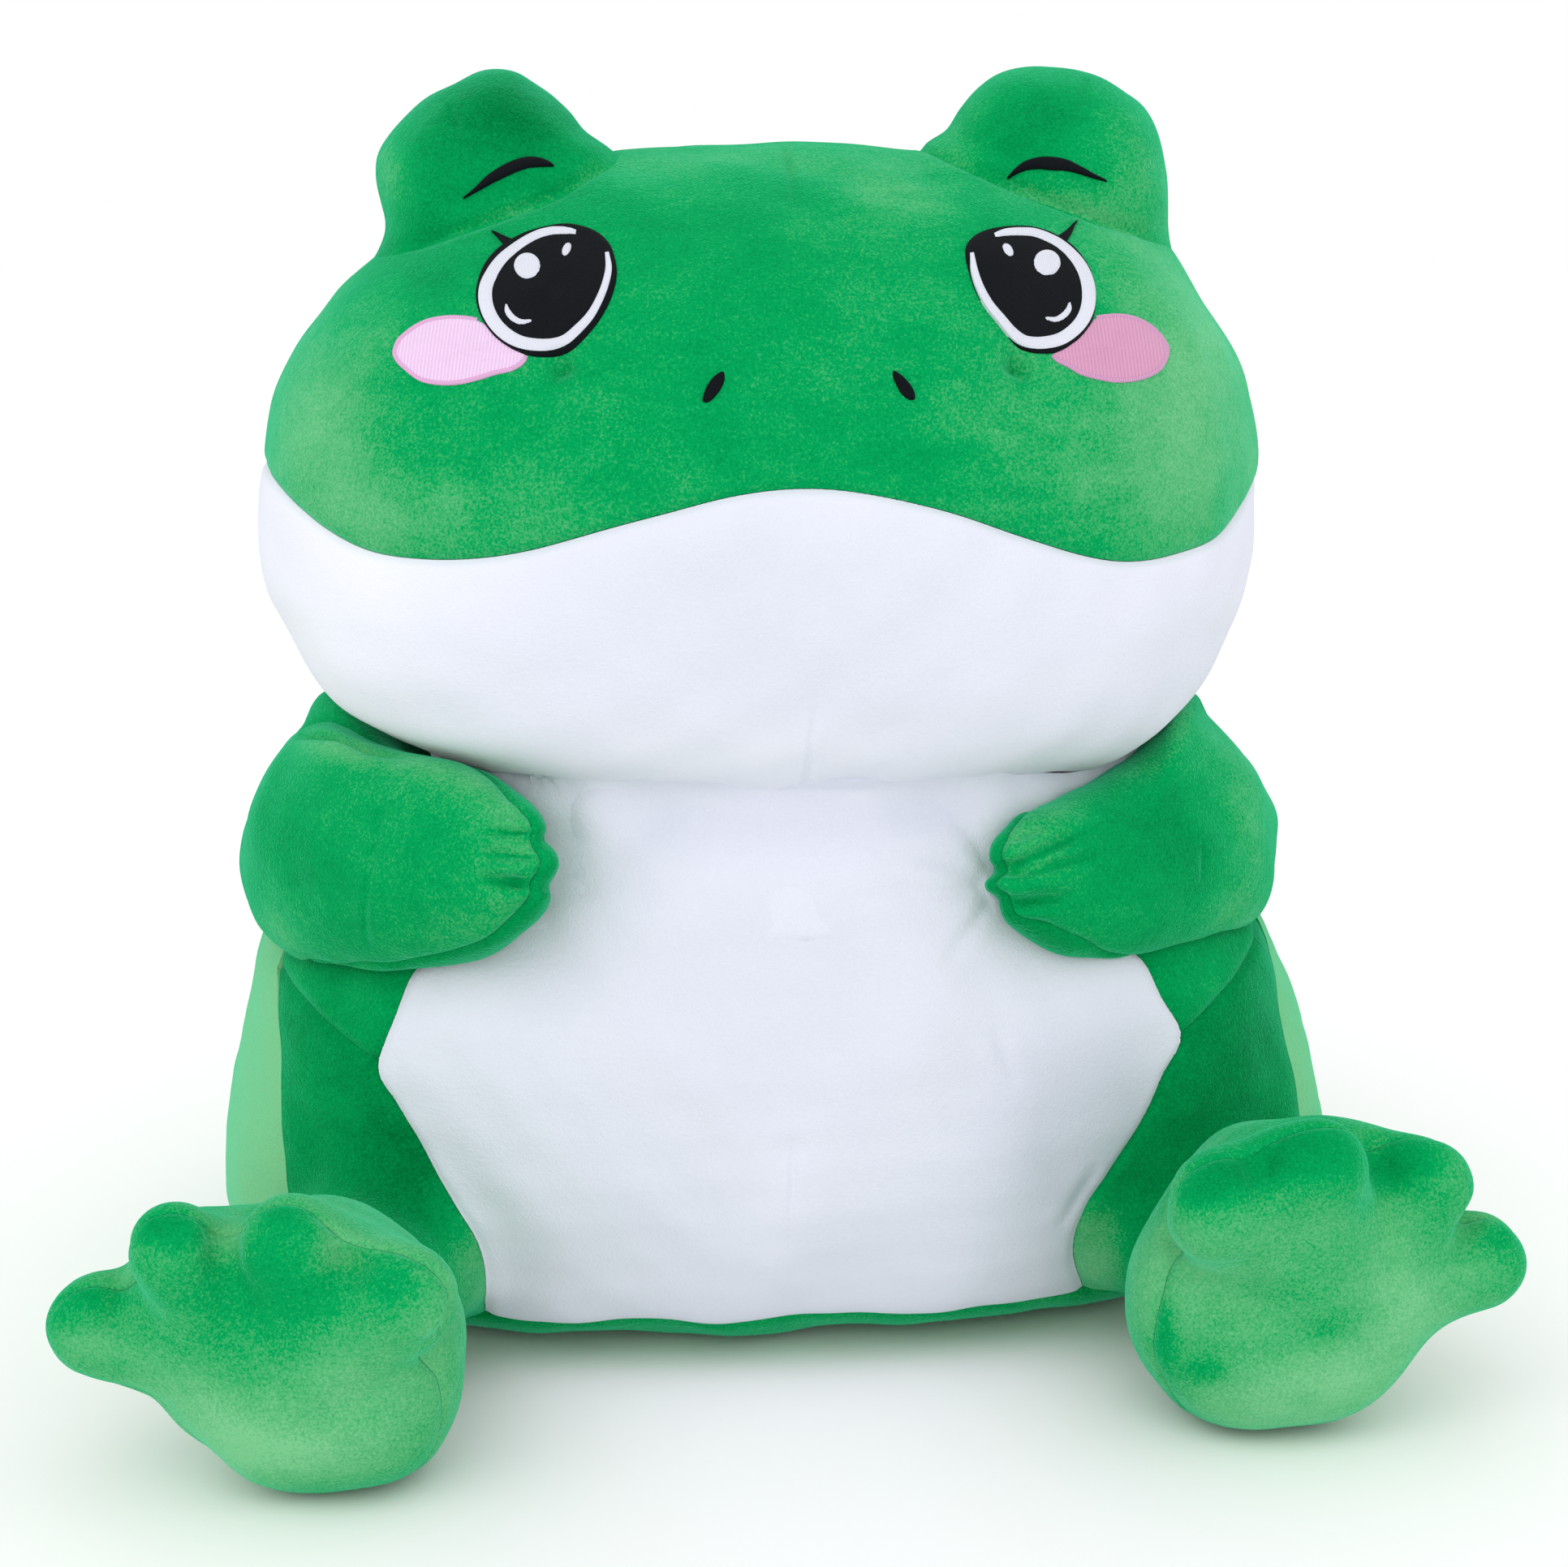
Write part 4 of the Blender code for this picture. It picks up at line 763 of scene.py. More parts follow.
class Groove:
    """The fabric rolls inward along a seam."""

    def __init__(self, away, depth=0.0016, width=0.0020, wide=0.0009, spread=0.010):
        self.away, self.depth, self.width, self.wide, self.spread = away, depth, width, wide, spread

    def distance(self, p):
        return self.away(p)

    def __call__(self, p):
        d = self.away(p)
        return -self.depth * np.exp(-((d / self.width) ** 1.6)) - self.wide * np.exp(-((d / self.spread) ** 1.5))


def puffed(field, low, high, cell, held, cap, pressure, frames=16):
    """Fabric over the form, held at its seams and blown out from inside: how far it moved, at each point of a coarse net."""
    points, faces = skin_net(field, low, high, cell)
    points = onto(field, averaged(points, faces, 0.5), 1)
    normals = gradient(field, points)
    normals /= np.linalg.norm(normals, axis=1)[:, None]
    mesh = bpy.data.meshes.new("sewn_bag")
    fill_mesh(mesh, points, faces)
    obj = bpy.data.objects.new("sewn_bag", mesh)
    bpy.context.scene.collection.objects.link(obj)
    group = obj.vertex_groups.new(name="sewn")
    for i in np.nonzero(held(points))[0].tolist():
        group.add([i], 1.0, "REPLACE")
    cloth = obj.modifiers.new("Cloth", "CLOTH")
    s = cloth.settings
    s.quality, s.mass, s.air_damping = 5, 0.15, 2.0
    s.tension_stiffness = s.compression_stiffness = 12.0
    s.shear_stiffness, s.bending_stiffness = 4.0, 1.2
    s.vertex_group_mass = "sewn"
    s.use_pressure = True
    s.uniform_pressure_force = pressure
    s.effector_weights.gravity = 0.0
    cloth.collision_settings.use_collision = False
    cloth.collision_settings.use_self_collision = False
    cloth.point_cache.frame_start, cloth.point_cache.frame_end = 1, frames
    scene = bpy.context.scene
    for f in range(1, frames + 1):
        scene.frame_set(f)
    shown = obj.evaluated_get(bpy.context.evaluated_depsgraph_get())
    made = np.empty(len(points) * 3, np.float32)
    shown.data.vertices.foreach_get("co", made)
    move = ((made.reshape(-1, 3) - points) * normals).sum(1)
    scene.frame_set(1)
    bpy.data.objects.remove(obj, do_unlink=True)
    soft = move
    for _ in range(25):
        soft = averaged(soft, faces, 0.8)
    move = np.clip(np.nan_to_num(move - soft), -cap, cap)
    return points, averaged(move, faces, 0.5)


def spread_from(points, values, at, cell=0.006):
    """Values at coarse points, read smoothly at others."""
    low = points.min(0) - 4 * cell
    n = np.ceil((points.max(0) + 4 * cell - low) / cell).astype(int) + 2
    total, weight = np.zeros(n), np.zeros(n)

    def corners(p):
        q = np.clip((p - low) / cell, 0, n - 1.001)
        i = np.floor(q).astype(int)
        f = q - i
        for a in (0, 1):
            for b in (0, 1):
                for c in (0, 1):
                    share = np.where(a, f[:, 0], 1 - f[:, 0]) * np.where(b, f[:, 1], 1 - f[:, 1]) * np.where(c, f[:, 2], 1 - f[:, 2])
                    yield (i[:, 0] + a, i[:, 1] + b, i[:, 2] + c), share

    for at_corner, share in corners(points):
        np.add.at(total, at_corner, share * values)
        np.add.at(weight, at_corner, share)
    for axis in range(3):
        for _ in range(3):
            total = (np.roll(total, 1, axis) + 2 * total + np.roll(total, -1, axis)) / 4
            weight = (np.roll(weight, 1, axis) + 2 * weight + np.roll(weight, -1, axis)) / 4
    grid = total / np.maximum(weight, 1e-6)
    return sum(grid[at_corner] * share for at_corner, share in corners(at))


# =====================================================================
# pieces
# =====================================================================
def fill_mesh(mesh, points, faces):
    mesh.vertices.add(len(points))
    mesh.vertices.foreach_set("co", np.asarray(points, np.float32).ravel())
    mesh.loops.add(len(faces) * 3)
    mesh.loops.foreach_set("vertex_index", np.asarray(faces, np.int32).ravel())
    mesh.polygons.add(len(faces))
    mesh.polygons.foreach_set("loop_start", np.arange(0, len(faces) * 3, 3, dtype=np.int32))
    mesh.update(calc_edges=True)


def make_piece(name, points, faces, material, body=None, slot=None, replaces=(), sharp=50, **values):
    mesh = bpy.data.meshes.new(name)
    fill_mesh(mesh, points, faces)
    mesh.shade_smooth()
    mesh.set_sharp_from_angle(angle=math.radians(sharp))
    for key, value in values.items():
        mesh.attributes.new(key, "FLOAT", "POINT").data.foreach_set("value", np.asarray(value, np.float32))
    mesh.materials.append(material)
    obj = bpy.data.objects.new(name, mesh)
    bpy.context.scene.collection.objects.link(obj)
    if replaces:
        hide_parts(*replaces)
    if body:
        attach(obj, body)
    return obj


def shell(points, normals, faces, thick, gap=0.00012):
    edges = edge_ends(faces)
    n = len(points)
    code, back = edges[:, 0] * n + edges[:, 1], edges[:, 1] * n + edges[:, 0]
    rim = edges[~np.isin(code, back)]
    pull = np.zeros_like(points)
    middle = points[faces].mean(1)
    for k in range(3):
        np.add.at(pull, faces[:, k], middle - points[faces[:, k]])
    pull -= (pull * normals).sum(1)[:, None] * normals
    on_rim = np.zeros(n, bool)
    on_rim[rim.ravel()] = True
    shift = np.where(on_rim[:, None], gap * pull / (np.linalg.norm(pull, axis=1)[:, None] + 1e-12), 0.0)
    outer = points + shift
    inner = outer - normals * thick
    a, b = rim[:, 0], rim[:, 1]
    sides = np.concatenate([np.stack([b, a, a + n], 1), np.stack([b, a + n, b + n], 1)])
    return np.concatenate([outer, inner]), np.concatenate([faces, faces[:, ::-1] + n, sides])


class Skin:
    """A stuffed form with its seams and folds, ready to be taken apart into fabric panels."""

    def __init__(self, field, low, high, cell, seams, marks, uneven=0.0005, seed=1, levels=3, puff=None):
        cell *= FINE
        points, faces = skin_net(field, low, high, cell)
        for _ in range(3):
            points = onto(field, averaged(points, faces, 0.6), 1)
        self.marks = marks
        reach = [cell * 3.2, cell * 1.7, cell * 1.0][:levels]
        for r in reach:
            d = np.full(len(points), 9.0)
            for mark in marks:
                d = np.minimum(d, mark.distance(points))
            d = d * np.where((points[:, 1] > 0.03) | (points[:, 2] < 0.006), 2.6, 1.0)
            points, faces = refined(points, faces, d < r)
            points = onto(field, averaged(points, faces, 0.25), 1)
        points = settle_on_seams(points, faces, seams)
        normals = gradient(field, points)
        normals /= np.linalg.norm(normals, axis=1)[:, None]
        self.points, self.faces, self.normals, self.seams = points, faces, normals, seams
        self.uneven, self.seed = uneven, seed
        self.puff = puff
        self.values = [seam(points) for seam in seams]

    def raised(self, points, normals):
        d = self.uneven * (swell(points, 0.055, self.seed) + 0.35 * swell(points, 0.022, self.seed + 50))
        for mark in self.marks:
            d = d + mark(points)
        if self.puff is not None:
            d = d + spread_from(*self.puff, points)
        return points + normals * d[:, None]

    def panel(self, sides):
        """sides: one pair for each seam used, its number and the side that is kept."""
        carry = np.concatenate([self.normals, np.stack(self.values, 1)], 1) if self.values else self.normals
        points, faces = self.points, self.faces
        for k, sign in sides:
            points, carry, faces = cut_to(points, carry, faces, carry[:, 3 + k] * sign)
        normals = carry[:, :3] / np.linalg.norm(carry[:, :3], axis=1)[:, None]
        return points, normals, faces

    def piece(self, name, sides, material, lay, body=None, slot="green_plush", replaces=(), fill=0.85, thick=FABRIC):
        rest, normals, faces = self.panel(sides)
        points = self.raised(rest, normals)
        if sides:
            mesh_points, mesh_faces = shell(points, normals, faces, thick)
            pile = np.concatenate([lay(rest, normals)] * 2)
        else:
            mesh_points, mesh_faces, pile = points, faces, lay(rest, normals)
        obj = make_piece(name, mesh_points, mesh_faces, material, body, slot, replaces, lay=pile)
        return obj, (points, faces)


# =====================================================================
# materials
# =====================================================================
def node(tree, kind, **settings):
    made = tree.nodes.new(kind)
    for key, value in settings.items():
        setattr(made, key, value)
    return made


def plush(name, dark, mid, light, sheen, tint, mottle=0.5, grain=0.35, bump=0.5, rough=0.95):
    """Short velvety pile: mottled where it lies in different directions, grainy close up. A per-point attribute adds
    pile tone together with painted light and shade, moving the colour between the dark and the light end.
    """
    material = bpy.data.materials.new(name)
    material.use_nodes = True
    tree = material.node_tree
    link = tree.links.new
    shader = tree.nodes["Principled BSDF"]
    shader.inputs["Roughness"].default_value = rough
    shader.inputs["Specular IOR Level"].default_value = 0.0
    shader.inputs["Sheen Weight"].default_value = sheen
    shader.inputs["Sheen Roughness"].default_value = 0.30
    shader.inputs["Sheen Tint"].default_value = (*tint, 1.0)
    where = node(tree, "ShaderNodeTexCoord")
    # pile tone together with painted light and shade comes in through this attribute
    lay = node(tree, "ShaderNodeAttribute", attribute_name="lay")
    patches = node(tree, "ShaderNodeTexNoise")
    patches.inputs["Scale"].default_value = 26.0
    patches.inputs["Detail"].default_value = 3.0
    patches.inputs["Roughness"].default_value = 0.6
    strokes = node(tree, "ShaderNodeTexNoise")
    strokes.inputs["Scale"].default_value = 75.0
    strokes.inputs["Detail"].default_value = 2.0
    strokes.inputs["Distortion"].default_value = 0.7
    brushed = node(tree, "ShaderNodeMapping")
    brushed.inputs["Rotation"].default_value = (0.15, 0.35, 0.20)
    brushed.inputs["Scale"].default_value = (0.40, 0.8, 1.25)
    link(where.outputs["Object"], brushed.inputs["Vector"])
    link(brushed.outputs["Vector"], strokes.inputs["Vector"])
    tufts = node(tree, "ShaderNodeTexNoise")
    tufts.inputs["Scale"].default_value = 420.0
    tufts.inputs["Detail"].default_value = 2.0
    pile = node(tree, "ShaderNodeTexNoise")
    pile.inputs["Scale"].default_value = 1150.0
    pile.inputs["Detail"].default_value = 2.0
    pile.inputs["Roughness"].default_value = 0.65
    for texture in (patches, tufts, pile):
        link(where.outputs["Object"], texture.inputs["Vector"])

    def scaled(source, share):
        by = node(tree, "ShaderNodeMath", operation="MULTIPLY_ADD")
        by.inputs[1].default_value = share
        by.inputs[2].default_value = -0.5 * share
        link(source, by.inputs[0])
        return by.outputs[0]

    def added(a, b):
        plus = node(tree, "ShaderNodeMath", operation="ADD")
        link(a, plus.inputs[0])
        link(b, plus.inputs[1])
        return plus.outputs[0]

    total = added(scaled(patches.outputs["Fac"], mottle), added(scaled(strokes.outputs["Fac"], mottle * 0.55), added(scaled(tufts.outputs["Fac"], mottle * 0.4), scaled(pile.outputs["Fac"], grain))))
    half = node(tree, "ShaderNodeMath", operation="MULTIPLY_ADD", use_clamp=True)
    half.inputs[1].default_value = 0.5
    half.inputs[2].default_value = 0.5
    link(added(lay.outputs["Fac"], total), half.inputs[0])
    ramp = node(tree, "ShaderNodeValToRGB")
    ramp.color_ramp.elements[0].position, ramp.color_ramp.elements[0].color = 0.0, (*dark, 1)
    ramp.color_ramp.elements[1].position, ramp.color_ramp.elements[1].color = 1.0, (*light, 1)
    middle = ramp.color_ramp.elements.new(0.5)
    middle.color = (*mid, 1)
    link(half.outputs[0], ramp.inputs[0])
    link(ramp.outputs[0], shader.inputs["Base Color"])
    near, far = node(tree, "ShaderNodeBump"), node(tree, "ShaderNodeBump")
    near.inputs["Strength"].default_value, near.inputs["Distance"].default_value = bump, 0.0012
    far.inputs["Strength"].default_value, far.inputs["Distance"].default_value = bump * 0.5, 0.0012
    link(pile.outputs["Fac"], near.inputs["Height"])
    link(tufts.outputs["Fac"], far.inputs["Height"])
    link(near.outputs["Normal"], far.inputs["Normal"])
    link(far.outputs["Normal"], shader.inputs["Normal"])
    return material


def thread(name, base, shade, rough=0.6, sheen=0.1, spec=0.2, pitch=0.00042, depth=0.6):
    """Embroidery: lines of thread across the stitch value, shaded in between."""
    material = bpy.data.materials.new(name)
    material.use_nodes = True
    tree = material.node_tree
    link = tree.links.new
    shader = tree.nodes["Principled BSDF"]
    shader.inputs["Roughness"].default_value = rough
    shader.inputs["Specular IOR Level"].default_value = spec
    shader.inputs["Sheen Weight"].default_value = sheen
    shader.inputs["Sheen Roughness"].default_value = 0.5
    stitch = node(tree, "ShaderNodeAttribute", attribute_name="stitch")
    where = node(tree, "ShaderNodeTexCoord")
    noise = node(tree, "ShaderNodeTexNoise")
    noise.inputs["Scale"].default_value = 700.0
    noise.inputs["Detail"].default_value = 2.0
    link(where.outputs["Object"], noise.inputs["Vector"])
    jitter = node(tree, "ShaderNodeMath", operation="MULTIPLY_ADD")
    jitter.inputs[1].default_value = 1.4
    link(noise.outputs["Fac"], jitter.inputs[0])
    turn = node(tree, "ShaderNodeMath", operation="MULTIPLY")
    turn.inputs[1].default_value = 2 * math.pi / pitch
    link(stitch.outputs["Fac"], turn.inputs[0])
    link(turn.outputs[0], jitter.inputs[2])
    wave = node(tree, "ShaderNodeMath", operation="SINE")
    link(jitter.outputs[0], wave.inputs[0])
    share = node(tree, "ShaderNodeMath", operation="MULTIPLY_ADD")
    share.inputs[1].default_value, share.inputs[2].default_value = 0.5, 0.5
    link(wave.outputs[0], share.inputs[0])
    mix = node(tree, "ShaderNodeMix", data_type="RGBA")
    mix.inputs[6].default_value, mix.inputs[7].default_value = (*shade, 1), (*base, 1)
    link(share.outputs[0], mix.inputs[0])
    link(mix.outputs[2], shader.inputs["Base Color"])
    bump = node(tree, "ShaderNodeBump")
    bump.inputs["Strength"].default_value, bump.inputs["Distance"].default_value = depth, 0.00025
    link(share.outputs[0], bump.inputs["Height"])
    link(bump.outputs["Normal"], shader.inputs["Normal"])
    return material


GREEN = plush("green_pile", (0.0, 0.150, 0.036), (0.0015, 0.350, 0.094), (0.195, 0.550, 0.262), 0.8, (0.14, 0.92, 0.56), mottle=0.75, grain=1.4)
WHITE = plush("white_pile", (0.58, 0.60, 0.69), (0.735, 0.75, 0.845), (0.83, 0.84, 0.91), 0.35, (1.0, 1.0, 1.0), mottle=0.25, grain=0.25, bump=0.25)
BLACK = thread("black_thread_look", (0.0030, 0.0050, 0.0080), (0.0010, 0.0020, 0.0035), rough=0.7, sheen=0.0, spec=0.12)
RING = thread("white_thread_look", (0.80, 0.82, 0.90), (0.64, 0.66, 0.76), rough=0.6)
# painted light and shade: lighter copies of the pink threads for the left cheek, darker shaded copies for the right
PINK_LIT = thread("pink_thread_look", (0.80, 0.60, 0.82), (0.72, 0.49, 0.72), rough=0.6, pitch=0.0011)
PINK_SHADED = thread("pink_thread_shade_look", (0.66, 0.32, 0.49), (0.56, 0.26, 0.42), rough=0.6, pitch=0.0011)
PINK_RIM_LIT = thread("pink_rim_look", (0.74, 0.42, 0.66), (0.62, 0.33, 0.56), rough=0.55, pitch=0.0007)
PINK_RIM_SHADED = thread("pink_rim_shade_look", (0.66, 0.34, 0.56), (0.52, 0.25, 0.42), rough=0.55, pitch=0.0007)


# =====================================================================
# seams of the head and body, read off the picture
# =====================================================================
MOUTH_PIXELS = ((330, 588), (345, 606), (360, 621), (380, 640), (400, 656), (425, 670), (453, 682), (500, 689), (545, 691), (600, 688), (649, 680),
                (700, 666), (737, 655), (785, 642), (831, 630), (885, 615), (938, 605), (975, 601), (1020, 601), (1053, 605),
                (1115, 617), (1175, 632), (1242, 655), (1285, 669), (1327, 682), (1360, 690), (1395, 694), (1430, 690), (1464, 681), (1490, 670),
                (1509, 661), (1520, 652), (1531, 640), (1541, 622), (1546, 607))
line = seen(head_field, curve_through(MOUTH_PIXELS, 90))
mouth_angle = np.degrees(np.arctan2(line[:, 0] - HEAD_X, -(line[:, 1] - HEAD_Y)))
sides = [(-180, 0.3100), (-130, 0.3104), (-100, 0.3110), (-88, 0.3110), (-81, 0.3104), (76, 0.3046), (81, 0.3070), (87, 0.3090), (95, 0.3103), (130, 0.3104), (180, 0.3100)]
known = np.concatenate([sides, np.stack([mouth_angle, line[:, 2]], 1)])
known = known[np.argsort(known[:, 0])]
turns = np.arange(-180, 181, 1.5)
mouth_table = np.stack([turns, np.interp(turns, known[:, 0], known[:, 1])], 1)
for _ in range(3):
    mouth_table[1:-1, 1] = (mouth_table[:-2, 1] + 2 * mouth_table[1:-1, 1] + mouth_table[2:, 1]) / 4


def mouth_seam(p):
    angle = np.degrees(np.arctan2(p[:, 0] - HEAD_X, -(p[:, 1] - HEAD_Y)))
    return p[:, 2] - np.interp(angle, mouth_table[:, 0], mouth_table[:, 1])


def head_back_seam(p):
    return p[:, 1] - HEAD_BACK_SEAM_Y


def flat_lay(level):
    return lambda p, n: np.full(len(p), level)


def patches_of_tone_and_painted_light(p, n, patches):
    """Patches of pile tone and of painted light and shade, lighter or darker: place in the picture, width, height,
    turn, amount.
    """
    u, v, _ = shown_at(p)
    facing = np.clip((n * (EYE_AT - p)).sum(1) / np.linalg.norm(EYE_AT - p, axis=1) * 3 + 0.5, 0, 1)
    total = np.zeros(len(p))
    for x, y, wide, high, turn, amount in patches:
        c, s = math.cos(math.radians(turn)), math.sin(math.radians(turn))
        a, b = (u - x) * c + (v - y) * s, -(u - x) * s + (v - y) * c
        total += amount * np.exp(-((a / wide) ** 2 + (b / high) ** 2))
    return total * facing


# painted light and shade on the white chin: lighter at the left and low in the middle, darker at the middle and beside
# the right arm
CHIN_PAINTED_LIGHT_AND_SHADE = ((400, 760, 150, 170, 0, 0.95), (960, 760, 330, 150, 0, -0.40), (900, 940, 330, 40, 0, 0.80), (1400, 930, 120, 60, -25, -0.3))
# painted shade on the belly: darker in the middle and strongly at the lower right, a little lighter low down
BELLY_PAINTED_SHADE_AND_LIGHT = ((960, 1240, 360, 230, 0, -0.42), (1340, 1400, 110, 130, 20, -1.30), (560, 1440, 60, 90, -20, -0.05), (700, 1560, 300, 60, 0, 0.2))
# pile tone and painted light on the head: the lighter patches at the sides and top are painted sheen, the darker ones
# beside and below the bumps painted shade
HEAD_NAP_AND_PAINTED_LIGHT = (
    (395, 560, 80, 110, 0, 0.38), (360, 470, 60, 90, 0, 0.15), (480, 640, 110, 45, 0, 0.3), (900, 195, 300, 22, 0, 0.25), (1110, 240, 80, 45, 25, 0.35), (1400, 270, 40, 40, 10, 0.25),
    (1470, 420, 95, 130, 0, 0.58), (1470, 590, 100, 80, 0, 0.32), (1290, 560, 130, 110, 0, 0.23), (995, 545, 190, 55, 0, -0.20), (545, 340, 90, 60, 0, -0.30), (750, 262, 70, 36, 0, -0.20),
    (1260, 262, 60, 30, 0, -0.15),
)
# pile tone and painted light on the eye bumps: a painted sheen along each bump's lower rim, darker towards the tops
BUMP_NAP_AND_PAINTED_LIGHT = {
    "left": ((640, 262, 90, 24, -18, 0.5), (738, 222, 34, 40, 0, 0.4), (640, 130, 60, 45, 0, -0.40), (482, 224, 28, 60, 0, 0.60), (560, 180, 200, 200, 0, -0.18)),
    "right": ((1300, 258, 100, 22, 10, 0.40), (1405, 215, 40, 80, 0, 0.20), (1290, 130, 70, 50, 0, -0.25), (1175, 180, 30, 30, 0, 0.2), (1240, 190, 60, 60, 0, -0.15)),
}
# pile tone and painted light on the arms: thin dark patches along the finger folds are painted shade, lighter strips at
# the top and outer edges painted sheen
ARM_NAP_AND_PAINTED_LIGHT = {
    "left": ((628, 1026, 30, 3.6, 9, -0.55), (630, 1053, 32, 3.6, 1, -0.45), (622, 1088, 30, 3.6, 2, -0.55), (618, 1040, 46, 80, 0, 0.14), (420, 925, 110, 14, 10, 0.25), (400, 1010, 110, 110, 0, -0.12), (560, 1150, 90, 26, -12, 0.2), (345, 1150, 50, 40, 0, 0.25)),
    "right": ((1288, 1050, 50, 4.0, -27, -0.50), (1296, 1069, 50, 3.6, -14, -0.35), (1276, 1111, 40, 3.4, -2, -0.30), (1285, 1050, 60, 44, -20, 0.34), (1540, 1010, 34, 100, 0, 0.36), (1420, 1030, 110, 90, 0, -0.36), (1530, 1130, 50, 30, 0, 0.35), (1460, 900, 50, 40, 50, 0.15)),
}
# pile tone and painted light on the feet: darker toe tops and hollows are painted shade, lighter lower parts painted
# sheen
FOOT_NAP_AND_PAINTED_LIGHT = {
    "left": ((330, 1600, 320, 260, 0, 0.30), (320, 1604, 120, 74, 0, -0.50), (202, 1506, 48, 36, 0, -0.42), (352, 1506, 54, 40, 0, -0.42), (480, 1575, 50, 36, 35, -0.38), (108, 1600, 44, 28, 0, -0.32),
             (440, 1720, 150, 60, 0, 0.28), (225, 1735, 100, 44, 38, 0.55), (340, 1795, 160, 44, 0, 0.65), (408, 1530, 22, 26, 0, 0.30), (100, 1662, 50, 20, 0, 0.30), (285, 1516, 22, 24, 0, 0.30), (540, 1620, 40, 40, 0, 0.3)),
    "right": ((1600, 1600, 330, 260, 0, 0.34), (1492, 1458, 52, 34, -20, -0.62), (1612, 1424, 76, 52, 0, -0.60), (1735, 1432, 44, 34, 0, -0.50), (1643, 1637, 40, 24, -20, -0.42),
              (1482, 1693, 34, 20, 0, -0.42), (1604, 1724, 26, 16, 0, -0.35), (1434, 1637, 14, 50, 0, -0.45), (1842, 1526, 26, 26, 0, -0.35), (1600, 1735, 160, 56, -12, 0.72), (1745, 1620, 60, 60, 0, 0.35),
              (1450, 1560, 60, 60, 0, 0.2)),
}
# painted shade and light on the thighs: darker high up, lighter at the lower front
THIGH_PAINTED_SHADE_AND_LIGHT = {"left": ((600, 1590, 60, 110, 0, 0.85), (500, 1440, 60, 60, 0, -0.4)), "right": ((1345, 1560, 50, 90, 0, 1.15), (1480, 1300, 80, 120, 0, -0.25))}


# ---------------------------------------------------------------- head
def build_head():
    bumps = {side: bump_field(side) for side in ("left", "right")}
    at = lambda pixels: seen(head_field, pixels)
    marks = [
        Groove(lambda p: np.abs(head_back_seam(p)), 0.0012, 0.0018, 0.0006),
        Groove(lambda p: np.where(p[:, 1] < HEAD_BACK_SEAM_Y, np.abs(mouth_seam(p)), 0.05), 0.0016, 0.0017, 0.0010, 0.008),
        Groove(lambda p: np.minimum(np.abs(bumps["left"](p)), np.abs(bumps["right"](p))), 0.0010, 0.0018, 0.0, 0.007),
        Crease(at(curve_through(((968, 183), (972, 205), (977, 235), (983, 276)), 12)), 0.0011, 0.0014, 0.25, 0.35),
        Crease(at(curve_through(((1008, 860), (1003, 890), (996, 930), (988, 978)), 12)), 0.0010, 0.0011, 0.75, 0.35),
        Dent(at([(690, 450)]), 0.0045, 0.0042), Dent(at([(1257, 449)]), 0.0046, 0.0050),
        Dent(at([(880, 476)]), 0.0070, 0.0010), Dent(at([(1114, 475)]), 0.0070, 0.0010),
    ]
    for u, v, du, dv in ((689, 449, 26, 10), (689, 449, -8, 26), (1258, 447, -24, 12), (1258, 447, 14, 24)):
        marks.append(Crease(at(curve_through(((u, v), (u + du * 0.6, v + dv * 0.6), (u + du, v + dv)), 6)), 0.0007, 0.0016, 0.1, 0.2))
    puff = None
    low, high = (-0.186, -0.156, 0.196), (0.182, 0.124, 0.426)
    puff = puffed(head_field, low, high, 0.0085, lambda p: (np.abs(head_back_seam(p)) < 0.005) | (np.abs(mouth_seam(p)) < 0.0045) & (p[:, 1] < HEAD_BACK_SEAM_Y) | (p[:, 2] < 0.207), 0.0025, 3.0)
    skin = Skin(head_field, low, high, 0.0033, [head_back_seam, mouth_seam], marks, 0.0006, 3, puff=puff)

    def lay(p, n):
        # painted sheen: the colour runs lighter towards the head's left and right sides
        return patches_of_tone_and_painted_light(p, n, HEAD_NAP_AND_PAINTED_LIGHT) + 0.25 * np.clip(np.abs(p[:, 0] + 0.01) / 0.17, 0, 1) ** 2 - 0.09

    face, surface = skin.piece("head_face_skin", ((0, -1), (1, 1)), GREEN, lay, "head", replaces=("head_face_cover", "head_stuffing"))
    skin.piece("head_chin_skin", ((0, -1), (1, -1)), WHITE, lambda p, n: patches_of_tone_and_painted_light(p, n, CHIN_PAINTED_LIGHT_AND_SHADE), "head", slot="white_plush", replaces=("head_chin_cover", "neck_stuffing"))
    skin.piece("head_back_skin", ((0, 1),), GREEN, lay, "head", replaces=("head_back_cover",))
    return surface


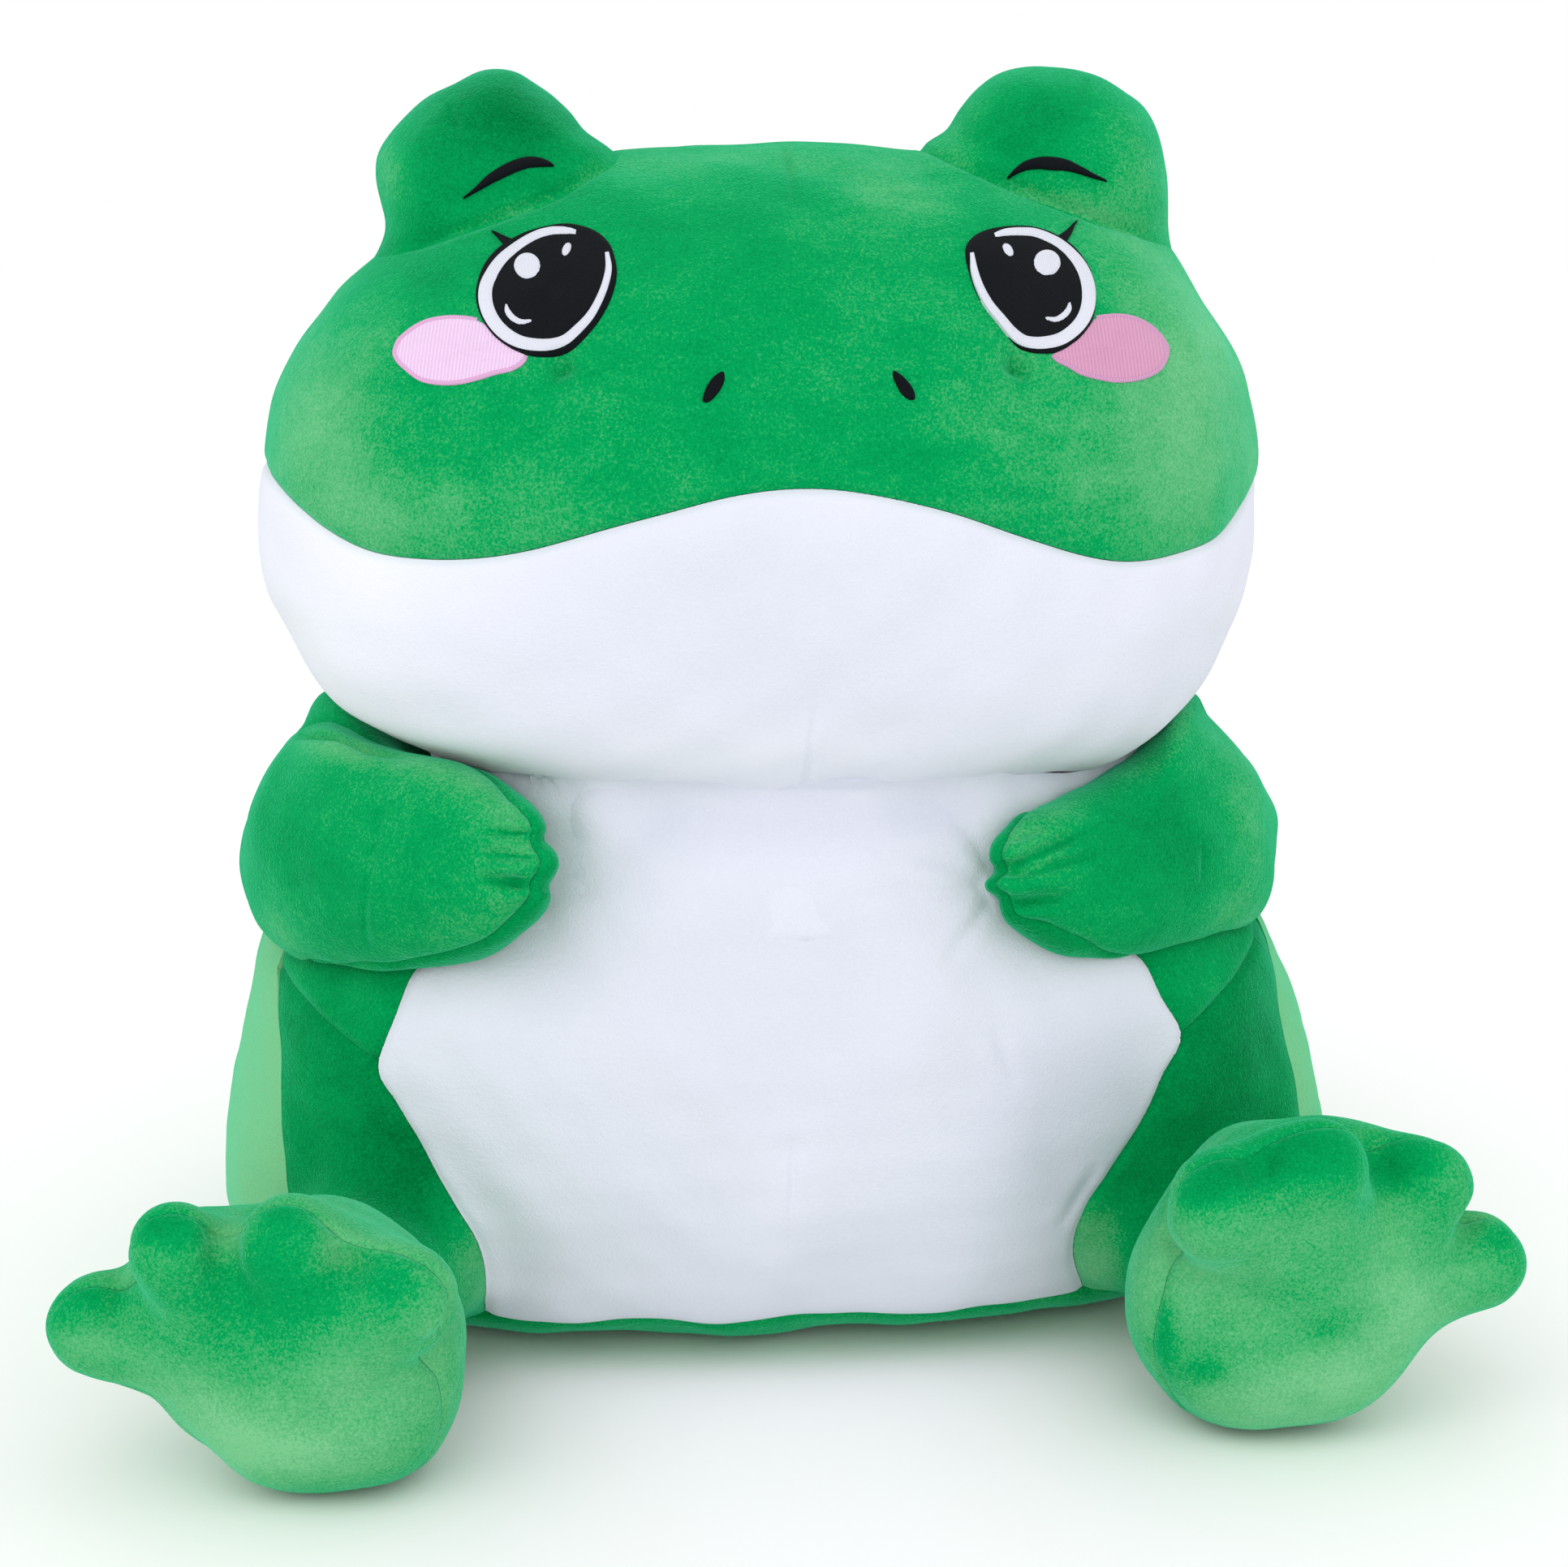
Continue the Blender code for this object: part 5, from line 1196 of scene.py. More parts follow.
def build_bump(side):
    pillow = bump_field(side)

    def aside(p):
        beside = (p[..., 0] - pillow.start[0]) * (-1 if side == "left" else 1)
        return np.clip((beside - 0.022) / 0.020, 0, 1) + 0.3 * np.clip((-beside - 0.022) / 0.020, 0, 1)

    def field(p):
        return soft_min(pillow(p), head_field(p), 0.003 + 0.009 * aside(p))

    def rim(p):
        return head_field(p) - 0.0002

    at = lambda pixels: seen(field, pixels)
    dart = ((553, 125), (557, 142), (562, 156), (567, 168)) if side == "left" else ((1338, 96), (1337, 112), (1333, 130), (1328, 146))
    marks = [
        Groove(lambda p: np.abs(head_field(p) - 0.0006) + 0.002 * aside(p), 0.0015, 0.0018, 0.0008, 0.006),
        Crease(at(curve_through(dart, 8)), 0.0009, 0.0015, 0.6, 0.3),
    ]
    middle, y, deep, _ = BUMP_SHAPES[side]
    c = px(*middle, y)
    low, high = c - np.array([0.064, deep + 0.018, 0.058]), c + np.array([0.064, deep + 0.018, 0.060])
    skin = Skin(field, low, high, 0.0022, [rim], marks, 0.0005, 11 if side == "left" else 12, levels=2)
    piece, surface = skin.piece(f"eye_bump_skin_{side}", ((0, 1),), GREEN, lambda p, n: patches_of_tone_and_painted_light(p, n, BUMP_NAP_AND_PAINTED_LIGHT[side]) - (0.25 if side == "left" else 0.05), "head",
                                replaces=(f"eye_bump_cover_{side}", f"eye_bump_stuffing_{side}"), fill=0.95)
    return surface


# ---------------------------------------------------------------- body
def side_table(pixels, field):
    line = seen(field, curve_through(pixels, 60))
    order = np.argsort(line[:, 2])
    return line[order, 2], line[order, 0]


BELLY_LEFT = ((512, 915), (535, 950), (560, 1000), (572, 1060), (560, 1120), (530, 1165), (500, 1200), (482, 1258), (463, 1318), (484, 1362), (508, 1405), (535, 1445), (562, 1483), (593, 1530), (604, 1566), (602, 1600), (598, 1622))
BELLY_RIGHT = ((1400, 905), (1385, 940), (1362, 985), (1345, 1040), (1350, 1100), (1375, 1150), (1415, 1185), (1440, 1232), (1463, 1275), (1438, 1328), (1411, 1380), (1386, 1418), (1362, 1455), (1334, 1505), (1324, 1545), (1328, 1572), (1338, 1600))


def build_body():
    left, right = side_table(BELLY_LEFT, body_field), side_table(BELLY_RIGHT, body_field)

    def belly_seam(p):
        x = p[:, 0]
        return np.minimum(np.minimum(x - np.interp(p[:, 2], *left), np.interp(p[:, 2], *right) - x) * 0.85, (SIDE_SEAM_Y - p[:, 1]) * 2)

    def base_seam(p):
        return p[:, 2] - BASE_SEAM_Z

    def ridge_seam(p):
        x = np.abs(p[:, 0] - body_shift(p[:, 2]))
        return np.minimum(RIDGE_X - 0.5 * np.maximum(p[:, 2] - 0.134, 0) - x, (SIDE_SEAM_Y - p[:, 1]) * 2)

    tops = {}
    for side, pixels in (("left", ((465, 1310), (405, 1253), (345, 1195))), ("right", ((1463, 1275), (1504, 1218), (1545, 1160)))):
        q = seen(body_field, pixels)
        tops[side] = (q[0, 2], abs(q[0, 0]), q[2, 2], abs(q[2, 0]))

    def thigh_seam(p):
        out = np.empty(len(p))
        for side, pick in (("left", p[:, 0] < 0), ("right", p[:, 0] >= 0)):
            z0, x0, z1, x1 = tops[side]
            x = np.abs(p[pick, 0])
            out[pick] = (z0 + (x - x0) * (z1 - z0) / (x1 - x0) - p[pick, 2]) * 0.75
        return out

    def middle_seam(p):
        return p[:, 0] - 0.002

    def neck_seam(p):
        return head_field(p) - 0.0002

    def gated(value, open_):
        return lambda p: np.where(open_(p), np.abs(value(p)), 0.05)

    above = lambda p: base_seam(p) > -0.0005
    marks = [
        Groove(lambda p: np.abs(base_seam(p)), 0.0012, 0.0018, 0.0006),
        Groove(gated(belly_seam, above), 0.0015, 0.0018, 0.0009, 0.008),
        Groove(gated(ridge_seam, lambda p: above(p) & (belly_seam(p) < 0)), 0.0006, 0.0026, 0.0004),
        Groove(gated(thigh_seam, lambda p: above(p) & (belly_seam(p) < 0) & (ridge_seam(p) > 0)), 0.0013, 0.0018, 0.0006),
        Groove(gated(middle_seam, lambda p: p[:, 1] > 0), 0.0013, 0.0018, 0.0008),
    ]
    at = lambda pixels: seen(trunk_field, pixels)
    marks += [
        Dent(at([(977, 1416)]), 0.0045, 0.0008),
        Crease(at(curve_through(((977, 1416), (976, 1460), (973, 1500), (972, 1548)), 10)), 0.0006, 0.0013, 0.2, 0.3),
        Crease(at(curve_through(((1218, 1094), (1170, 1100), (1110, 1098), (1050, 1102)), 10)), 0.0010, 0.0030, 0.1, 0.3),
        Crease(at(curve_through(((1214, 1084), (1180, 1068), (1130, 1056), (1070, 1050)), 10)), 0.0007, 0.0032, 0.1, 0.3),
        Crease(at(curve_through(((1222, 1106), (1205, 1135), (1180, 1165), (1160, 1200)), 10)), 0.0008, 0.0028, 0.1, 0.3),
        Crease(at(curve_through(((684, 1090), (720, 1096), (775, 1092)), 8)), 0.0005, 0.0028, 0.1, 0.3),
        Crease(at(curve_through(((1226, 1262), (1236, 1290), (1256, 1340)), 8)), 0.0008, 0.0026, 0.5, 0.3),
        Crease(at(curve_through(((1352, 1430), (1335, 1470), (1302, 1520)), 8)), 0.0010, 0.0030, 0.4, 0.35),
        Crease(at(curve_through(((728, 960), (745, 953), (760, 950), (776, 955)), 8)), 0.0014, 0.0014, 0.6, 0.3),
        Crease(at(curve_through(((1148, 960), (1166, 955), (1182, 961)), 8)), 0.0014, 0.0014, 0.5, 0.3),
        Crease(at(curve_through(((890, 970), (940, 975), (990, 977), (1045, 974), (1100, 970)), 10)), 0.0006, 0.0020, 0.5, 0.3),
        Crease(at(curve_through(((1222, 1080), (1205, 1045), (1186, 1015), (1170, 985)), 10)), 0.0007, 0.0030, 0.2, 0.3),
    ]
    low, high = (-0.216, -0.164, -0.004), (0.224, 0.182, 0.262)
    puff = None
    held = lambda p: (np.abs(base_seam(p)) < 0.005) | (p[:, 2] < 0.004) | ((np.abs(belly_seam(p)) < 0.005) & above(p)) | ((np.abs(middle_seam(p)) < 0.005) & (p[:, 1] > 0)) | (head_field(p) < 0.004)
    puff = puffed(trunk_field, low, high, 0.0090, held, 0.0025, 3.0)
    skin = Skin(trunk_field, low, high, 0.0037, [base_seam, belly_seam, ridge_seam, thigh_seam, middle_seam, neck_seam], marks, 0.0007, 21, puff=puff)
    skin.piece("base_skin", ((0, -1),), GREEN, flat_lay(-0.1), "torso", replaces=("base_cover",))
    skin.piece("belly_skin", ((0, 1), (1, 1), (5, 1)), WHITE, lambda p, n: patches_of_tone_and_painted_light(p, n, BELLY_PAINTED_SHADE_AND_LIGHT), "torso", slot="white_plush", replaces=("belly_cover", "body_stuffing"))
    for side, sign in (("left", -1), ("right", 1)):
        # painted shade: the flank panels are coloured darker all over
        skin.piece(f"flank_skin_{side}", ((0, 1), (4, sign), (1, -1), (2, 1), (3, -1), (5, 1)), GREEN, flat_lay(-0.25), "torso", replaces=(f"flank_cover_{side}",))

        def thigh_lay(p, n):
            # painted shade: the thighs darker all over, with the painted light and shade patches on top
            return patches_of_tone_and_painted_light(p, n, THIGH_PAINTED_SHADE_AND_LIGHT[side]) - 0.50

        thigh, _ = skin.piece(f"thigh_skin_{side}", ((0, 1), (4, sign), (1, -1), (2, 1), (3, 1), (5, 1)), GREEN, thigh_lay,
                              replaces=(f"thigh_cover_{side}", f"leg_cover_{side}", f"leg_stuffing_{side}"))
        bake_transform(thigh)

        def back_lay(p, n):
            # painted sheen: the side panels run lighter towards their front edge, more on the left
            return (1.35 if side == "left" else 1.1) * np.clip((0.06 - p[:, 1]) / 0.07, 0, 1) - 0.05

        skin.piece(f"back_skin_{side}", ((0, 1), (4, sign), (2, -1), (5, 1)), GREEN, back_lay, "torso", replaces=(f"back_cover_{side}",))


def build_collar():
    """The top of the bag that goes into the neck: a bowl that the head sits in."""
    def field(p):
        d = soft_max(trunk_field(p) + 0.0010, 0.0012 - head_field(p), 0.0010)
        return soft_max(d, 0.160 - p[..., 2], 0.004)

    def front(p):
        return SIDE_SEAM_Y - p[:, 1]

    skin = Skin(field, (-0.172, -0.145, 0.152), (0.172, 0.110, 0.262), 0.0032, [front], [], 0.0, 22, levels=1)
    skin.piece("collar_front", ((0, 1),), WHITE, flat_lay(-0.2), "torso", slot="white_plush", replaces=())
    skin.piece("collar_back", ((0, -1),), GREEN, flat_lay(-0.2), "torso", replaces=())


# ---------------------------------------------------------------- arms
ARM_SEAMS = {
    "left": ((605, 955), (619, 968), (636, 989), (650, 1013), (661, 1035), (665, 1055), (662, 1076), (652, 1098), (637, 1124), (613, 1149), (583, 1168), (549, 1182), (510, 1188), (448, 1192), (400, 1190)),
    "right": ((1248, 1014), (1242, 1044), (1236, 1068), (1238, 1109), (1284, 1132), (1310, 1145), (1340, 1159), (1377, 1176), (1418, 1179), (1458, 1171), (1500, 1160)),
}
ARM_FOLDS = {
    "left": (
        ((655, 1031), (640, 1029), (620, 1026), (588, 1018)), ((660, 1054), (640, 1052), (618, 1053), (586, 1056)),
        ((650, 1089), (634, 1088), (613, 1087), (585, 1088)), ((641, 1006), (624, 1003), (600, 997)),
    ),
    "right": (
        ((1234, 1072), (1250, 1066), (1300, 1042), (1350, 1022)), ((1236, 1080), (1256, 1077), (1300, 1066), (1352, 1052)),
        ((1240, 1113), (1256, 1112), (1290, 1109), (1330, 1108)), ((1243, 1040), (1262, 1030), (1290, 1018)),
    ),
}


def build_arm(side):
    shape, pivot = ARM_SHAPES[side], np.array(ARMS[side]["shoulder"])
    field, pillow = arm_field(side), arm_pillows[side]

    held = np.stack(pillow.place(seen(field, ARM_SEAMS[side])), 1)

    def palm_seam(p):
        along, up, out = pillow.place(p)
        total, weight = np.full(len(p), -0.05 * 0.004), np.full(len(p), 0.05)
        for s, h, w in held:
            share = np.exp(-((along - s) ** 2 + (up - h) ** 2) / 0.010**2)
            total += w * share
            weight += share
        return out - total / weight

    def root_seam(p):
        return body_field(p) + 0.004

    at = lambda pixels: seen(field, pixels)
    marks = [Groove(lambda p: np.where(body_field(p) > 0.0, np.abs(palm_seam(p)), 0.05), 0.0012, 0.0015, 0.0006, 0.006)]
    for i, pixels in enumerate(ARM_FOLDS[side]):
        marks.append(Crease(at(curve_through(pixels, 14)), (0.0030, 0.0026, 0.0028, 0.0016)[i] * (1.1 if side == "left" else 1.2), 0.0024, 0.22, 0.3))
    if side == "left":
        marks.append(Crease(at(curve_through(((482, 940), (470, 1000), (455, 1080), (448, 1140), (452, 1178)), 12)), 0.0006, 0.0016, 0.6, 0.3))
        marks.append(Crease(at(curve_through(((364, 904), (378, 903), (403, 905), (426, 910), (448, 919), (476, 928), (510, 934)), 14)), 0.0026, 0.0022, 0.35, 0.25))
    else:
        marks.append(Crease(at(curve_through(((1480, 1035), (1484, 1060), (1482, 1090)), 8)), 0.0005, 0.0018, 0.5, 0.3))
    corner = np.array([pivot, shape["elbow"], shape["hand"], shape["top"]])
    low, high = corner.min(0) - 0.054, corner.max(0) + 0.054
    skin = Skin(field, low, high, 0.0024, [palm_seam, root_seam], marks, 0.0006, 31 if side == "left" else 32, levels=2)

    def lay(p, n):
        # painted light: faces turned upward are coloured lighter
        return patches_of_tone_and_painted_light(p, n, ARM_NAP_AND_PAINTED_LIGHT[side]) + 0.25 * np.clip(n[:, 2], 0, 1) ** 2 - 0.1

    outer, _ = skin.piece(f"arm_outer_skin_{side}", ((0, 1), (1, 1)), GREEN, lay, replaces=(f"arm_outer_cover_{side}", f"arm_stuffing_{side}"))
    # painted shade: the palm panels are darker, most of all low under each hand
    palm, _ = skin.piece(f"arm_palm_skin_{side}", ((0, -1), (1, 1)), GREEN, lambda p, n: patches_of_tone_and_painted_light(p, n, ((600, 1120, 150, 110, 0, -0.40), (1300, 1120, 150, 110, 0, -0.40))) - 0.08, replaces=(f"arm_palm_cover_{side}",))
    elbow = np.array(shape["elbow"])
    for piece in (outer, palm):
        tuple(pivot)
        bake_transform(piece)


# ---------------------------------------------------------------- feet
FOOT_SEAMS = {
    "left": ((188, 1502), (200, 1498), (212, 1500), (341, 1484), (354, 1483), (367, 1486), (386, 1496), (400, 1511), (419, 1529), (437, 1541), (447, 1535), (460, 1539), (482, 1542),
             (500, 1555), (519, 1570), (537, 1589), (548, 1607), (522, 1659), (528, 1692), (537, 1726), (543, 1766)),
    "right": ((1483, 1440), (1508, 1435), (1533, 1433), (1554, 1422), (1602, 1396), (1618, 1390), (1633, 1385), (1438, 1508), (1447, 1530), (1456, 1554), (1444, 1597), (1428, 1636), (1421, 1676)),
}
FOOT_FOLDS = {  # line in the picture, depth, width, where deepest
    "left": ((((264, 1508), (270, 1535), (284, 1580)), 0.0030, 0.0050, 0.15), (((440, 1534), (428, 1562), (412, 1604)), 0.0050, 0.0062, 0.2),
             (((150, 1556), (143, 1605), (146, 1660)), 0.0018, 0.0034, 0.5), (((562, 1600), (550, 1636), (512, 1664)), 0.0024, 0.0036, 0.35),
             (((186, 1504), (198, 1514), (206, 1524)), 0.0010, 0.0020, 0.2), (((366, 1490), (392, 1500), (430, 1532)), 0.0008, 0.0016, 0.5)),
    "right": ((((1550, 1416), (1553, 1446), (1562, 1500)), 0.0052, 0.0062, 0.3), (((1680, 1398), (1702, 1440), (1720, 1480)), 0.0026, 0.0054, 0.4),
              (((1806, 1486), (1800, 1540), (1796, 1600)), 0.0022, 0.0048, 0.4), (((1436, 1512), (1452, 1540), (1456, 1556)), 0.0024, 0.0034, 0.4),
              (((1840, 1512), (1846, 1526), (1842, 1540)), 0.0010, 0.0030, 0.5)),
}


def build_foot(side):
    foot, shape = FEET[side], FOOT_SHAPES[side]
    field = foot_field(side)
    held = seen(field, FOOT_SEAMS[side])
    held = np.concatenate([held, [tip for _, _, tip, _ in (shape["toes"][:1] if side == "left" else shape["toes"][1:3])]])
    held = held + np.array([0.0, 0.0012, 0.0])
    usual = foot["heel"][1] - 0.002

    def sole_seam(p):
        total, weight = np.full(len(p), 0.12 * usual), np.full(len(p), 0.12)
        for x, y, z in held:
            w = np.exp(-((p[:, 0] - x) ** 2 + (p[:, 2] - z) ** 2) / 0.011**2)
            total += w * y
            weight += w
        return total / weight - p[:, 1]

    marks = [Groove(lambda p: np.abs(sole_seam(p)), 0.0008, 0.0013, 0.0004, 0.005)]
    for pixels, depth, width, deep in FOOT_FOLDS[side]:
        marks.append(Crease(seen(field, curve_through(pixels, 10)), depth, width, deep, 0.15))
    corner = np.array([place for root, _, tip, _ in (*shape["toes"], shape["over"]) for place in (root, tip)] + [shape["ball"][0]] + [b[0] for b in shape["back"]])
    low, high = corner.min(0) - 0.050, corner.max(0) + 0.050
    low[2] = -0.004
    skin = Skin(field, low, high, 0.0023, [sole_seam], marks, 0.0007, 41 if side == "left" else 42, levels=2)

    def lay(p, n):
        return patches_of_tone_and_painted_light(p, n, FOOT_NAP_AND_PAINTED_LIGHT[side])

    skin.piece(f"foot_sole_skin_{side}", ((0, 1),), GREEN, lay, f"foot_{side}", replaces=(f"foot_sole_cover_{side}", f"foot_stuffing_{side}"))
    skin.piece(f"foot_top_skin_{side}", ((0, -1),), GREEN, lambda p, n: lay(p, n) + 0.15, f"foot_{side}", replaces=(f"foot_top_cover_{side}",))


# =====================================================================
# embroidery, laid on the fabric where the picture shows it
# =====================================================================
class Cover:
    def __init__(self, surface, field):
        points, faces = surface
        self.tree = BVHTree.FromPolygons([tuple(p) for p in points], [tuple(f) for f in faces.tolist()])
        self.field = field

    def __call__(self, pixels):
        rays = rays_of(pixels)
        eye = Vector(EYE_AT)
        out = np.empty((len(rays), 3))
        miss = []
        for i, d in enumerate(rays):
            hit = self.tree.ray_cast(eye, Vector(d))[0]
            if hit is None:
                miss.append(i)
            else:
                out[i] = hit
        if miss:
            out[miss] = seen(self.field, np.asarray(pixels)[miss])
        normals = gradient(self.field, out)
        return out, normals / np.linalg.norm(normals, axis=1)[:, None]


def patch(name, ring, cover, height, material, slot, replaces, across, rings=14, inner=None, dome=0.0003, base=0.0004, ridge=0.00007, pitch=0.0009):
    """A filled satin patch. across: direction in the picture that its threads lie side by side in."""
    ring = np.asarray(ring, float)
    if ((ring[:, 0] * np.roll(ring[:, 1], -1) - np.roll(ring[:, 0], -1) * ring[:, 1]).sum()) > 0:
        ring = ring[::-1]
    mid = ring.mean(0) if inner is None else np.array(inner, float)
    n = len(ring)
    share = 1 - (np.arange(rings) / rings) ** 1.0
    flat = np.concatenate([mid + (ring - mid) * s for s in share] + [mid[None]])
    depth = np.concatenate([np.full(n, 1 - s) for s in share] + [[1.0]])
    faces = []
    k = np.arange(n)
    k2 = (k + 1) % n
    for j in range(rings - 1):
        a, b = j * n + k, j * n + k2
        faces += [np.stack([a, b, b + n], 1), np.stack([a, b + n, a + n], 1)]
    last = (rings - 1) * n
    faces.append(np.stack([last + k, last + k2, np.full(n, len(flat) - 1)], 1))
    faces = np.concatenate(faces)
    at, normal = cover(flat)
    turn = math.radians(across)
    stitch = (flat[:, 0] * math.cos(turn) + flat[:, 1] * math.sin(turn)) / 3900.0
    size = np.linalg.norm(ring - mid, axis=1).mean()
    rolled = np.clip(depth * size / 5.0, 0, 1)
    lift = base + height * np.sqrt(1 - (1 - rolled) ** 2) + dome * np.sqrt(depth) + ridge * np.sin(stitch * 2 * np.pi / pitch) * rolled
    top = at + normal * lift[:, None]
    low = at - normal * 0.0006
    m = len(flat)
    walls = np.concatenate([np.stack([k2, k, k + m], 1), np.stack([k2, k + m, k2 + m], 1)])
    points = np.concatenate([low, top])
    body = np.concatenate([faces + m, faces[:, ::-1], walls])
    return make_piece(name, points, body, material, "head", slot, replaces, 60, stitch=np.concatenate([stitch, stitch]))


def stroke(name, spine, widths, cover, height, material, slot, replaces, base=0.0004, count=60, over=9, ridge=0.00007, pitch=0.0008):
    """A satin stroke of changing width: its threads lie across it."""
    table = curve_through(np.concatenate([np.asarray(spine, float), np.asarray(widths, float)[:, None] * 1.0], 1), count)
    line, width = table[:, :2], np.maximum(table[:, 2], 0.4)
    run = np.gradient(line, axis=0)
    length = np.concatenate([[0], np.cumsum(np.linalg.norm(np.diff(line, axis=0), axis=1))])
    run /= np.linalg.norm(run, axis=1)[:, None]
    side = np.stack([-run[:, 1], run[:, 0]], 1)
    t = np.linspace(-1, 1, over)
    flat = (line[:, None, :] + side[:, None, :] * (width[:, None, None] / 2) * t[None, :, None]).reshape(-1, 2)
    n, m = len(line), over
    i, j = np.meshgrid(np.arange(n - 1), np.arange(m - 1), indexing="ij")
    a = (i * m + j).ravel()
    faces = np.concatenate([np.stack([a, a + m, a + m + 1], 1), np.stack([a, a + m + 1, a + 1], 1)])
    at, normal = cover(flat)
    crown = np.tile(np.sqrt(np.maximum(1 - t**2 * 0.98, 0)), n)
    stitch = np.repeat(length / 3900.0, m)
    taper = np.clip(np.minimum(length, length[-1] - length) / 4.0, 0.15, 1)
    lift = base + (height * crown + ridge * np.sin(stitch * 2 * np.pi / pitch) * crown) * np.repeat(taper, m)
    top, low = at + normal * lift[:, None], at - normal * 0.0006
    big = n * m
    edge = np.concatenate([np.arange(m - 1), np.arange(n - 1) * m + m - 1, (n - 1) * m + np.arange(m - 1, 0, -1), np.arange(n - 1, 0, -1) * m])
    k, k2 = edge, np.roll(edge, -1)
    walls = np.concatenate([np.stack([k, k2, k2 + big], 1), np.stack([k, k2 + big, k + big], 1)])
    body = np.concatenate([faces + big, faces[:, ::-1], walls])
    points = np.concatenate([low, top])
    volume = np.cross(points[body[:, 1]] - points[body[:, 0]], points[body[:, 2]] - points[body[:, 0]])
    if (points[body[:, 0]] * volume).sum() < (points.mean(0) * volume).sum():
        body = body[:, ::-1]
    return make_piece(name, points, body, material, "head", slot, replaces, 60, stitch=np.concatenate([stitch, stitch]))


EYE_OUTLINE = {
    "left": ((675.7, 279.1), (697.2, 276.4), (718.6, 279.7), (737.3, 287.7), (750.7, 301.1), (757.4, 317.2), (760.1, 335.9), (757.4, 354.7),
             (750.7, 373.4), (738.7, 394.8), (721.3, 416.3), (703.9, 432.4), (690.5, 438.6), (673.1, 440.4), (651.6, 438.2), (630.2, 429.7),
             (611.4, 416.3), (598.1, 400.2), (589.5, 381.5), (586.8, 362.7), (590.0, 344.0), (598.1, 325.2), (611.4, 309.1), (627.5, 297.1), (648.9, 286.4)),
    "right": ((1250.5, 279.2), (1269.3, 279.7), (1288.0, 284.5), (1304.1, 291.7), (1320.2, 302.4), (1333.6, 317.2), (1343.0, 333.2), (1348.3, 352.0),
              (1349.1, 373.4), (1345.6, 394.8), (1333.6, 413.6), (1317.5, 427.0), (1301.4, 434.5), (1285.4, 436.0), (1269.3, 434.5), (1255.9, 429.7),
              (1242.5, 416.3), (1229.1, 397.5), (1213.0, 378.8), (1201.0, 357.3), (1193.8, 335.9), (1189.5, 317.2), (1190.3, 303.8), (1198.3, 293.1), (1213.0, 285.0), (1231.8, 280.7)),
}
RING_LINE = {  # crop units: place and width
    "left": ((1010, 858, 20), (960, 852, 32), (900, 853, 36), (840, 868, 38), (780, 898, 40), (720, 940, 44), (665, 990, 50), (625, 1050, 56), (600, 1110, 61),
             (598, 1170, 63), (615, 1230, 63), (650, 1285, 61), (700, 1330, 59), (760, 1360, 56), (830, 1372, 55), (900, 1370, 52), (960, 1350, 46), (1020, 1300, 42),
             (1075, 1240, 38), (1115, 1170, 34), (1145, 1095, 32), (1160, 1020, 29), (1152, 950, 18)),
    "right": ((352, 872, 20), (400, 860, 32), (460, 856, 36), (530, 860, 38), (590, 880, 40), (650, 912, 42), (700, 955, 46), (740, 1005, 52), (768, 1065, 58),
              (780, 1130, 62), (775, 1200, 63), (750, 1260, 61), (705, 1310, 59), (650, 1345, 57), (590, 1360, 55), (530, 1362, 52), (480, 1350, 48), (430, 1310, 42),
              (380, 1250, 38), (330, 1190, 36), (285, 1110, 34), (258, 1030, 31), (247, 952, 18)),
}
GLINTS = {"left": ((788, 1013, 61, 60, 0), (968, 938, 19, 33, 25)), "right": ((590, 998, 62, 60, 0), (412, 940, 20, 34, -35))}
CRESCENT = {"left": ((692, 1188, 10), (700, 1222, 26), (725, 1252, 28), (760, 1268, 24), (812, 1262, 10)), "right": ((692, 1178, 10), (688, 1210, 26), (665, 1238, 28), (630, 1256, 24), (580, 1250, 12))}
LASH = {"left": ((620, 843, 3), (645, 858, 16), (675, 880, 32), (712, 905, 50)), "right": ((737, 793, 3), (718, 815, 14), (698, 845, 28), (668, 878, 46))}
CHEEK_RING = {
    "left": ((484.2, 435), (489.6, 419), (504.3, 405.6), (523, 394.8), (547.2, 389.5), (571.3, 389.5), (588.7, 392.2), (601, 399), (614, 414), (632, 427),
             (650, 437), (646.3, 447.5), (632.9, 456.5), (611.4, 461.8), (590, 468.5), (565.9, 473.9), (541.8, 474.7), (517.7, 469.8), (498.9, 456.5), (488.2, 445.7)),
    "right": ((1349.7, 389.5), (1365.7, 387.4), (1384.5, 387.4), (1403.2, 392.2), (1419.3, 401.6), (1432.7, 415), (1440.2, 429.7), (1438.1, 443.1), (1430, 456.5),
              (1414, 465.8), (1392.5, 470.7), (1371.1, 471.2), (1349.7, 467.2), (1330.9, 461.8), (1314.8, 452.4), (1301.4, 445.7), (1294.5, 436.4), (1309, 427), (1326, 414), (1338, 400)),
}
BROW = {
    "left": ((488, 691, 3), (550, 648, 22), (610, 603, 42), (670, 568, 52), (730, 540, 54), (790, 524, 50), (850, 527, 37), (903, 541, 6)),
    "right": ((415, 600, 5), (450, 570, 22), (500, 541, 40), (560, 528, 54), (620, 530, 60), (680, 537, 52), (740, 557, 36), (800, 583, 23), (872, 612, 4)),
}
NOSTRIL = {
    "left": ((891, 458), (893, 466), (889, 478), (881, 489), (872, 496), (866, 495), (867, 486), (872, 474), (881, 463)),
    "right": ((1101, 457), (1110, 462), (1119, 471), (1126, 482), (1127, 492), (1121, 493), (1111, 486), (1104, 474), (1100, 463)),
}
ORIGIN = {"left": (440.0, 60.0), "right": (1130.0, 60.0)}
ZOOM = 3.7333


